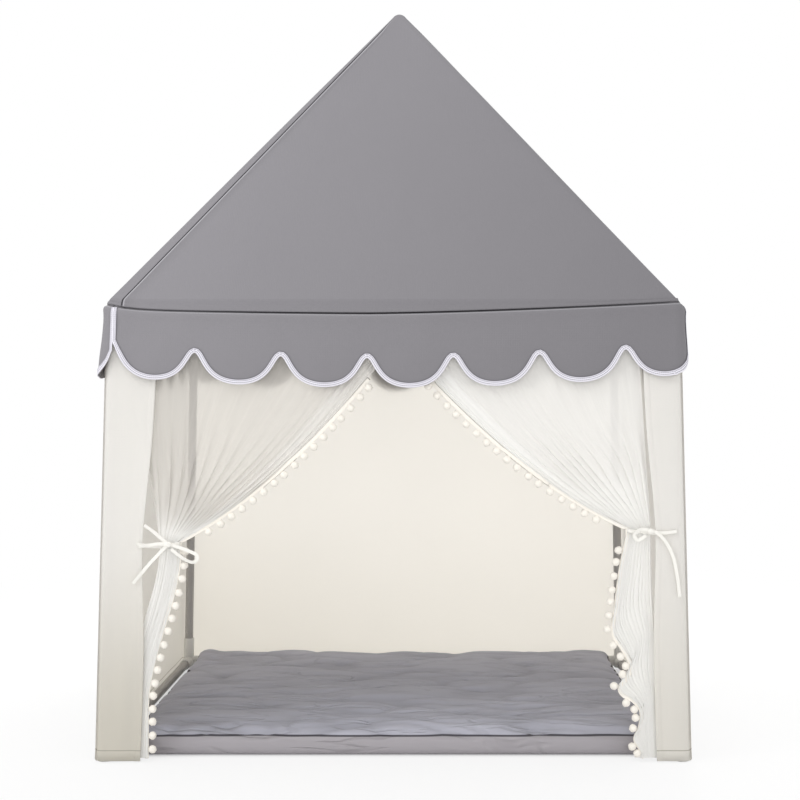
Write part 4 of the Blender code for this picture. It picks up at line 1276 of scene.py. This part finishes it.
def canvas_finish():
    """Woven cotton canvas: matt, even grey, with a fine plain weave.

    The real threads are 0.5 mm apart; they are drawn at 3.5 mm to show at this size. Painted light
    makes it a little lighter towards the top and the left side, and darker towards the bottom right.
    """
    material, tree, shader = new_finish("woven_grey_canvas", 0.92, sheen=0.08)
    _, place, base, normal = woven(tree, shader, colours().canvas, 0.0035, 0.25, mottle=0.05, patch=0.30)
    soft_folds(tree, shader, place, normal, (5.0, 5.0, 4.0), 0.008)
    # Painted light: lighter towards the top and the left side, darker towards the bottom right
    towards = {0: place, 1: (-1.0, 0.0, 0.64)}
    towards = add_node(tree, "ShaderNodeVectorMath", towards, operation="DOT_PRODUCT").outputs["Value"]
    levels = {"Value": towards, "From Min": 0.0, "From Max": 1.1, "To Min": 0.88, "To Max": 1.13}
    painted_light_level = add_node(tree, "ShaderNodeMapRange", levels).outputs["Result"]
    painted_light_colour = add_node(tree, "ShaderNodeHueSaturation", {"Color": base, "Value": painted_light_level}).outputs["Color"]
    # Painted shade in the seams and a painted highlight on pressed edges, from the shade on the mesh
    painted_seam_colour = painted_crease_shading(tree, painted_light_colour, dark="#29272B", light="#C4C3C8")
    tree.links.new(painted_seam_colour, shader.inputs["Base Color"])
    return material


def binding_finish():
    """Cotton bias tape: brighter than the canvas, folded and sewn with two rows of stitches, with a line of
    painted shadow along its inner edge.

    The threads are drawn at 2.2 mm and the stitches at 4 mm, coarser than the real ones, to show.
    """
    material, tree, shader = new_finish("cotton_bias_tape", 0.85)
    uv, _, base, _ = woven(tree, shader, colours().binding, 0.0022, 0.2, mottle=0.03, patch=0.1)
    sewn, across = stitched(tree, uv, base, (0.0028, 0.0064), 0.0040, colour="#8A8893", strength=0.9)
    # A line of painted shadow along the inner edge, where the tape meets the canvas
    tones = {"Factor": line_at(tree, across, 0.0092, 0.0016), "A": sewn, "B": srgb("#6D6B72")}
    painted_shade = add_node(tree, "ShaderNodeMix", tones, data_type="RGBA")
    tree.links.new(painted_shade.outputs["Result"], shader.inputs["Base Color"])
    return material


def cotton_finish(name, share, low_tone):
    """Plain woven cotton: off-white, and thin enough to pass a share of the light behind it.

    The threads are drawn at 3 mm to show. It is darker towards the floor, most on the left.
    """
    material, tree, shader = new_finish(name, 0.95)
    _, place, base, normal = woven(tree, shader, colours().cotton, 0.0030, 0.2, mottle=0.025, patch=0.35)
    soft_folds(tree, shader, place, normal, (7.0, 7.0, 1.6), 0.009)
    parts = add_node(tree, "ShaderNodeSeparateXYZ", {0: place}).outputs
    levels = {"Value": parts["Z"], "From Min": 0.50, "From Max": 0.02, "To Min": 0.0, "To Max": low_tone}
    low = add_node(tree, "ShaderNodeMapRange", levels, interpolation_type="SMOOTHSTEP").outputs["Result"]
    levels = {"Value": parts["X"], "From Min": -0.5, "From Max": 0.5, "To Min": 1.0, "To Max": 0.45}
    leftward = add_node(tree, "ShaderNodeMapRange", levels).outputs["Result"]
    tone_gradient = add_node(tree, "ShaderNodeMath", {0: low, 1: leftward}, operation="MULTIPLY").outputs[0]
    stitches = line_at(tree, parts["Z"], 0.024, 0.0012)
    # Darker towards the floor, most on the left, and a line of hem stitches
    for factor, tone in ((tone_gradient, "#C9C2AF"), (stitches, "#B9B4A8")):
        tones = {"Factor": factor, "A": base, "B": srgb(tone)}
        base = add_node(tree, "ShaderNodeMix", tones, data_type="RGBA").outputs["Result"]
    tree.links.new(base, shader.inputs["Base Color"])
    let_light_through(tree, shader, base, share)
    return material


def voile_finish():
    """Sheer polyester voile: an open weave that is see-through, and denser where it is gathered; where it is
    denser it is also lighter, partly as painted light.

    Its threads are drawn at 2.6 mm to show.
    """
    material, tree, shader = new_finish("sheer_voile", 0.9)
    uv, _, _, normal = woven(tree, shader, colours().voile, 0.0026, 0.15, mottle=0.02, patch=0.2)
    along = add_node(tree, "ShaderNodeMapping", {"Vector": uv, "Scale": (60.0, 1.6, 1.0)}).outputs[0]
    creases = add_node(tree, "ShaderNodeTexNoise", {"Vector": along, "Scale": 1.0, "Detail": 3.0})
    levels = {"Value": creases.outputs["Fac"], "From Min": 0.50, "From Max": 0.72}
    crease = add_node(tree, "ShaderNodeMapRange", levels).outputs["Result"]
    gathered = add_node(tree, "ShaderNodeAttribute", attribute_name="shade", attribute_type="GEOMETRY")
    gathered = gathered.outputs["Fac"]
    # Lighter where denser: partly the doubled cloth, partly painted light on the right curtain and in the
    # deep folds at the ties
    tones = {"Factor": gathered, "A": srgb("#E0DCD6"), "B": srgb(colours().voile)}
    toned = add_node(tree, "ShaderNodeMix", tones, data_type="RGBA").outputs["Result"]
    tree.links.new(toned, shader.inputs["Base Color"])
    raised = {"Height": crease, "Strength": 0.25, "Distance": 0.0012, "Normal": normal}
    tree.links.new(add_node(tree, "ShaderNodeBump", raised).outputs["Normal"], shader.inputs["Normal"])
    cloth = let_light_through(tree, shader, toned, 0.24)
    density = add_node(tree, "ShaderNodeMath", {0: crease, 1: 0.10}, operation="MULTIPLY").outputs[0]
    density = add_node(tree, "ShaderNodeMath", {0: density, 1: gathered}, operation="ADD").outputs[0]
    opacity = add_node(tree, "ShaderNodeMix", {"Factor": density, "A": 0.60, "B": 0.97}, data_type="FLOAT")
    clear = add_node(tree, "ShaderNodeBsdfTransparent").outputs[0]
    seen = add_node(tree, "ShaderNodeMixShader", {0: opacity.outputs["Result"], 1: clear, 2: cloth})
    tree.links.new(seen.outputs[0], tree.nodes["Material Output"].inputs["Surface"])
    return material


def grained(tree, shader, colour, scale, detail, spread, strength, height):
    """Tone and relief from one noise that follows the object."""
    place = add_node(tree, "ShaderNodeTexCoord").outputs["Object"]
    grains = add_node(tree, "ShaderNodeTexNoise", {"Vector": place, "Scale": scale, "Detail": detail})
    grains = grains.outputs["Fac"]
    tones = {"Factor": grains, **dark_and_light(colour, spread)}
    base = add_node(tree, "ShaderNodeMix", tones, data_type="RGBA").outputs["Result"]
    tree.links.new(base, shader.inputs["Base Color"])
    raised = {"Height": grains, "Strength": strength, "Distance": height}
    tree.links.new(add_node(tree, "ShaderNodeBump", raised).outputs["Normal"], shader.inputs["Normal"])


def yarn_finish():
    """Brushed acrylic yarn, cut into tufts 1.6 mm apart: a soft ball with shade between its ends."""
    material, tree, shader = new_finish("cut_cream_yarn", 1.0, sheen=0.3)
    grained(tree, shader, colours().yarn, 620.0, 3.0, spread=0.08, strength=0.6, height=0.0010)
    return material


def moulded_finish(name, colour, roughness, grain):
    """Moulded plastic: smooth, with a faint grain of a size in metres and a soft gloss."""
    material, tree, shader = new_finish(name, roughness, specular=0.5)
    grained(tree, shader, colour, 1 / grain, 2.0, spread=0.04, strength=0.12, height=0.0003)
    return material


def tape_finish():
    """Twill cotton tape: matt off-white, with its threads drawn at 1.8 mm to show."""
    material, tree, shader = new_finish("twill_cotton_tape", 0.9)
    woven(tree, shader, colours().tape, 0.0018, 0.25, mottle=0.04, patch=0.05)
    return material


def mat_side(tree, parts):
    """Two masks of the mat's cover: its seam along the top edge, for a dark line of painted shade, and the
    side strip below it, for painted shade on the upright sides.
    """
    outer = []
    for axis, half in zip("XY", MAT_HALF):
        off = add_node(tree, "ShaderNodeMath", {0: parts[axis]}, operation="ABSOLUTE").outputs[0]
        beyond = {0: off, 1: half - 0.024}
        outer.append(add_node(tree, "ShaderNodeMath", beyond, operation="GREATER_THAN").outputs[0])
    edge = add_node(tree, "ShaderNodeMath", {0: outer[0], 1: outer[1]}, operation="MAXIMUM").outputs[0]
    below = add_node(tree, "ShaderNodeMath", {0: parts["Z"], 1: MAT_SEAM}, operation="LESS_THAN").outputs[0]
    seam = line_at(tree, parts["Z"], MAT_SEAM, 0.0024)
    return [
        add_node(tree, "ShaderNodeMath", {0: mask, 1: edge}, operation="MULTIPLY").outputs[0]
        for mask in (seam, below)
    ]


def mat_finish():
    """Cotton cover over wadding: grey and finely wrinkled; painted light makes it a little darker at the door
    and lighter towards the back, and painted shade darkens its creases, side strip and seam.
    """
    material, tree, shader = new_finish("cotton_over_wadding", 0.95, sheen=0.05)
    place = add_node(tree, "ShaderNodeTexCoord").outputs["Object"]
    slow = add_node(tree, "ShaderNodeTexNoise", {"Vector": place, "Scale": 6.0, "Detail": 4.0})
    tones = {"Factor": slow.outputs["Fac"], **dark_and_light(colours().mat, 0.06)}
    base = add_node(tree, "ShaderNodeMix", tones, data_type="RGBA").outputs["Result"]
    parts = add_node(tree, "ShaderNodeSeparateXYZ", {0: place}).outputs
    # Painted light: darker at the door and lighter towards the back, to even out the light that comes in at
    # the door
    levels = {"Value": parts["Y"], "From Min": -0.45, "From Max": 0.25, "To Min": 0.90, "To Max": 1.11}
    tone_gradient = add_node(tree, "ShaderNodeMapRange", levels).outputs["Result"]
    base = add_node(tree, "ShaderNodeHueSaturation", {"Color": base, "Value": tone_gradient}).outputs["Color"]
    # Painted shade in the creases and painted highlight between them, from the shade on the mesh
    base = painted_crease_shading(tree, base, dark="#4A4950", light="#DAD9DE")
    seam, strip = mat_side(tree, parts)
    # Painted shade on the upright side strip, and a dark line of painted shade along the seam
    for factor, tone in ((strip, "#A6A2A6"), (seam, "#4A484D")):
        tones = {"Factor": factor, "A": base, "B": srgb(tone)}
        base = add_node(tree, "ShaderNodeMix", tones, data_type="RGBA").outputs["Result"]

    wrinkled = {"Vector": place, "Scale": (9.0, 34.0, 30.0)}
    wrinkled = add_node(tree, "ShaderNodeMapping", wrinkled).outputs[0]
    lie = {"Vector": wrinkled, "Scale": 1.0, "Detail": 5.0, "Distortion": 0.6}
    wrinkles = add_node(tree, "ShaderNodeTexNoise", lie).outputs["Fac"]
    raised = {"Height": wrinkles, "Strength": 0.6, "Distance": 0.005}
    normal = add_node(tree, "ShaderNodeBump", raised).outputs["Normal"]

    pressed = {"Vector": place, "Scale": (4.0, 17.0, 12.0), "Rotation": (0, 0, 0.12)}
    pressed = add_node(tree, "ShaderNodeMapping", pressed).outputs[0]
    lie = {"Vector": pressed, "Scale": 1.0, "Detail": 3.0, "Distortion": 0.9}
    creases = add_node(tree, "ShaderNodeTexNoise", lie).outputs["Fac"]
    off = add_node(tree, "ShaderNodeMath", {0: creases, 1: 0.5}, operation="SUBTRACT").outputs[0]
    off = add_node(tree, "ShaderNodeMath", {0: off}, operation="ABSOLUTE").outputs[0]
    levels = {"Value": off, "From Min": 0.0, "From Max": 0.055}
    deep = add_node(tree, "ShaderNodeMapRange", levels, interpolation_type="SMOOTHSTEP").outputs["Result"]
    # Painted shade along the pressed creases
    levels = {"Value": off, "From Min": 0.0, "From Max": 0.03, "To Min": 0.93, "To Max": 1.0}
    shaded = add_node(tree, "ShaderNodeMapRange", levels).outputs["Result"]
    lined = add_node(tree, "ShaderNodeHueSaturation", {"Color": base, "Value": shaded})
    tree.links.new(lined.outputs["Color"], shader.inputs["Base Color"])
    raised = {"Height": deep, "Strength": 0.7, "Distance": 0.0035, "Normal": normal}
    tree.links.new(add_node(tree, "ShaderNodeBump", raised).outputs["Normal"], shader.inputs["Normal"])
    return material


# Stage

# Half of the tent's footprint across and front to back, inside which the floor keeps its shadow
FOOTPRINT = (0.58, 0.455)
FLOOR_HALF = 9.0
FLOOR_GREY = 0.85


def make_camera():
    data = bpy.data.cameras.new("front_camera")
    data.lens = 63.4
    data.sensor_width = 36.0
    data.shift_x = -0.0437
    data.shift_y = -0.010
    camera = bpy.data.objects.new("front_camera", data)
    camera.location = (0.084, -3.33, 0.744)
    camera.rotation_euler = (RIGHT_ANGLE, 0.0, 0.0)
    bpy.context.scene.collection.objects.link(camera)
    bpy.context.scene.camera = camera


def add_lamp(name, place, target, size, power):
    data = bpy.data.lights.new(name, "AREA")
    data.size = size
    data.energy = power
    lamp = bpy.data.objects.new(name, data)
    lamp.location = place
    lamp.rotation_euler = (Vector(target) - Vector(place)).to_track_quat("-Z", "Y").to_euler()
    bpy.context.scene.collection.objects.link(lamp)


def white_to_the_eye(tree, shader_socket):
    """Shows white to camera, mirror and glass rays, mixed with the real shader near the tent.

    The mix keeps the tent's shadow, most of all under the tent, and it turns to pure white a few
    paces away.
    """
    rays = add_node(tree, "ShaderNodeLightPath").outputs
    part = rays["Is Camera Ray"]
    for kind in ("Is Glossy Ray", "Is Transmission Ray"):
        part = add_node(tree, "ShaderNodeMath", {0: part, 1: rays[kind]}, operation="MAXIMUM").outputs[0]
    place = add_node(tree, "ShaderNodeTexCoord").outputs["Object"]
    away = add_node(tree, "ShaderNodeVectorMath", {0: place}, operation="LENGTH").outputs["Value"]
    levels = {"Value": away, "From Min": 0.8, "From Max": 2.6, "To Min": 0.80, "To Max": 1.0}
    far = add_node(tree, "ShaderNodeMapRange", levels, interpolation_type="SMOOTHSTEP").outputs["Result"]
    size = add_node(tree, "ShaderNodeVectorMath", {0: place}, operation="ABSOLUTE").outputs[0]
    size = {0: size, 1: (1 / FOOTPRINT[0], 1 / FOOTPRINT[1], 0.0)}
    size = add_node(tree, "ShaderNodeVectorMath", size, operation="MULTIPLY").outputs[0]
    sides = add_node(tree, "ShaderNodeSeparateXYZ", {0: size}).outputs
    outside = add_node(tree, "ShaderNodeMath", {0: sides["X"], 1: sides["Y"]}, operation="MAXIMUM").outputs[0]
    levels = {"Value": outside, "From Min": 0.96, "From Max": 1.02, "To Min": 0.30, "To Max": 1.0}
    beside = add_node(tree, "ShaderNodeMapRange", levels).outputs["Result"]
    for share in (far, beside):
        part = add_node(tree, "ShaderNodeMath", {0: part, 1: share}, operation="MULTIPLY").outputs[0]
    white = add_node(tree, "ShaderNodeEmission", {"Strength": 1.0, "Color": (1, 1, 1, 1)}).outputs[0]
    return add_node(tree, "ShaderNodeMixShader", {0: part, 1: shader_socket, 2: white}).outputs[0]


def make_stage():
    """A pale floor, a white surround and soft studio light at a plain level."""
    scene = bpy.context.scene
    scene.view_settings.view_transform = "Standard"
    bm = bmesh.new()
    bmesh.ops.create_grid(bm, x_segments=1, y_segments=1, size=FLOOR_HALF)
    material = bpy.data.materials.new("pale_studio_floor")
    material.use_nodes = True
    tree = material.node_tree
    shader = tree.nodes["Principled BSDF"]
    shader.inputs["Base Color"].default_value = (FLOOR_GREY, FLOOR_GREY, FLOOR_GREY, 1)
    shader.inputs["Roughness"].default_value = 0.9
    shown = white_to_the_eye(tree, shader.outputs[0])
    tree.links.new(shown, tree.nodes["Material Output"].inputs["Surface"])
    floor = finish_mesh("studio_floor", bm, material)
    world = bpy.data.worlds.new("studio_surround")
    world.use_nodes = True
    tree = world.node_tree
    seen = add_node(tree, "ShaderNodeLightPath").outputs["Is Camera Ray"]
    level = add_node(tree, "ShaderNodeMix", {"Factor": seen, "A": 0.98, "B": 1.0}, data_type="FLOAT")
    background = tree.nodes["Background"]
    background.inputs["Color"].default_value = (1, 1, 1, 1)
    tree.links.new(level.outputs["Result"], background.inputs["Strength"])
    scene.world = world
    add_lamp("key_lamp", place=(-2.3, -1.9, 2.9), target=(0, 0, 0.9), size=1.6, power=25.0)
    add_lamp("front_lamp", place=(0.2, -4.2, 0.5), target=(0, 0, 0.5), size=2.2, power=24.0)
    add_lamp("back_lamp", place=(0.6, 3.4, 1.8), target=(0, 0, 0.6), size=2.4, power=80.0)


# Operators


def settle(piece, body, slot, *nodes):
    """Puts a finished piece on its body, in place of the plain solids that it stands for."""
    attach(piece, body)
    if nodes:
        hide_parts(*nodes)


class PLAYTENT_OT_frame(bpy.types.Operator):
    """Give the poles and connectors of the frame their moulded plastic finishes."""

    bl_idname = "play_tent.frame"
    bl_label = "Frame Finishes"

    def execute(self, context):
        tube = moulded_finish("extruded_grey_tube", colours().tube, 0.42, 0.004)
        moulded = moulded_finish("moulded_white_nylon", colours().moulded, 0.5, 0.0015)
        for name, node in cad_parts.items():
            finish = None
            if name.endswith(("_post", "_rail", "_rafter")):
                finish = tube
            elif name.endswith("_connector"):
                finish = moulded
            if finish:
                for slot in node.material_slots:
                    slot.material = finish
        return {"FINISHED"}


class PLAYTENT_OT_roof(bpy.types.Operator):
    """Build the canopy with its four scalloped valances and their bindings."""

    bl_idname = "play_tent.roof"
    bl_label = "Roof Cover"

    def execute(self, context):
        canvas = canvas_finish()
        bias = binding_finish()
        canopy = make_canopy(canvas)
        settle(canopy, "roof_cover", "roof_cloth", *[f"{name}_roof_panel" for name in SIDE_NAMES])
        for side, name in enumerate(SIDE_NAMES):
            valance, length = make_valance(side, canvas)
            binding = make_binding(side, length, bias)
            settle(valance, "roof_cover", "roof_cloth", f"{name}_valance")
            settle(binding, "roof_cover", "binding", f"{name}_valance_binding")
        return {"FINISHED"}


class PLAYTENT_OT_walls(bpy.types.Operator):
    """Build the three cotton walls, the two door strips and the header."""

    bl_idname = "play_tent.walls"
    bl_label = "Walls"

    def execute(self, context):
        cotton = cotton_finish("plain_white_cotton", 0.72, 0.15)
        doubled = cotton_finish("doubled_white_cotton", 0.32, 0.55)
        for side in (RIGHT, BACK, LEFT):
            wall, flat = make_wall(side, cotton)
            settle(wall, "tent_frame", "white_cotton", f"{SIDE_NAMES[side]}_wall")
        for hand in (-1, 1):
            strip, flat = make_door_strip(hand, doubled)
            settle(strip, "tent_frame", "white_cotton", f"{HAND_NAMES[hand]}_jamb")
        header, flat = make_header(doubled)
        settle(header, "tent_frame", "white_cotton", "front_header")
        return {"FINISHED"}


class PLAYTENT_OT_curtains(bpy.types.Operator):
    """Build the two sheer curtains with their pom-pom fringes, ties and bows."""

    bl_idname = "play_tent.curtains"
    bl_label = "Curtains"

    def execute(self, context):
        voile = voile_finish()
        yarn = yarn_finish()
        tape = tape_finish()
        for hand in (-1, 1):
            name = HAND_NAMES[hand]
            curtain = make_curtain(hand, voile)
            settle(curtain, "tent_frame", "sheer_voile", f"{name}_curtain")
            fringe = make_trim(hand, yarn)
            settle(fringe, "tent_frame", "pompom", f"{name}_pompom_trim")
            tie = make_tie(hand, tape)
            settle(tie, "tent_frame", "tie_tape", f"{name}_tie")
            bow = make_bow(hand, tape)
            settle(bow, "tent_frame", "tie_tape", f"{name}_bow")
        return {"FINISHED"}


class PLAYTENT_OT_mat(bpy.types.Operator):
    """Build the padded floor mat."""

    bl_idname = "play_tent.mat"
    bl_label = "Floor Mat"

    def execute(self, context):
        mat = make_mat(mat_finish())
        settle(mat, "mat", "mat_cotton", "floor_mat")
        return {"FINISHED"}


class PLAYTENT_OT_stage(bpy.types.Operator):
    """Set up the camera, the floor and the studio light."""

    bl_idname = "play_tent.stage"
    bl_label = "Stage"

    def execute(self, context):
        make_camera()
        make_stage()
        return {"FINISHED"}


class PLAYTENT_PT_panel(bpy.types.Panel):
    bl_label = "Play Tent"
    bl_idname = "PLAYTENT_PT_panel"
    bl_space_type = "VIEW_3D"
    bl_region_type = "UI"
    bl_category = "Play Tent"

    def draw(self, context):
        for operator in OPERATORS:
            self.layout.operator(operator.bl_idname)
        for group in (context.scene.play_tent_sizes, context.scene.play_tent_colours):
            box = self.layout.box()
            for name in type(group).__annotations__:
                box.prop(group, name)


OPERATORS = (
    PLAYTENT_OT_stage,
    PLAYTENT_OT_frame,
    PLAYTENT_OT_roof,
    PLAYTENT_OT_walls,
    PLAYTENT_OT_curtains,
    PLAYTENT_OT_mat,
)
CLASSES = (PlayTentSizes, PlayTentColours, *OPERATORS, PLAYTENT_PT_panel)


def register():
    for item in CLASSES:
        bpy.utils.register_class(item)
    bpy.types.Scene.play_tent_sizes = PointerProperty(type=PlayTentSizes)
    bpy.types.Scene.play_tent_colours = PointerProperty(type=PlayTentColours)


def unregister():
    del bpy.types.Scene.play_tent_colours
    del bpy.types.Scene.play_tent_sizes
    for item in reversed(CLASSES):
        bpy.utils.unregister_class(item)


def main():
    register()
    bpy.ops.play_tent.stage()
    bpy.ops.play_tent.frame()
    bpy.ops.play_tent.roof()
    bpy.ops.play_tent.walls()
    bpy.ops.play_tent.curtains()
    bpy.ops.play_tent.mat()


if __name__ == "__main__":
    main()
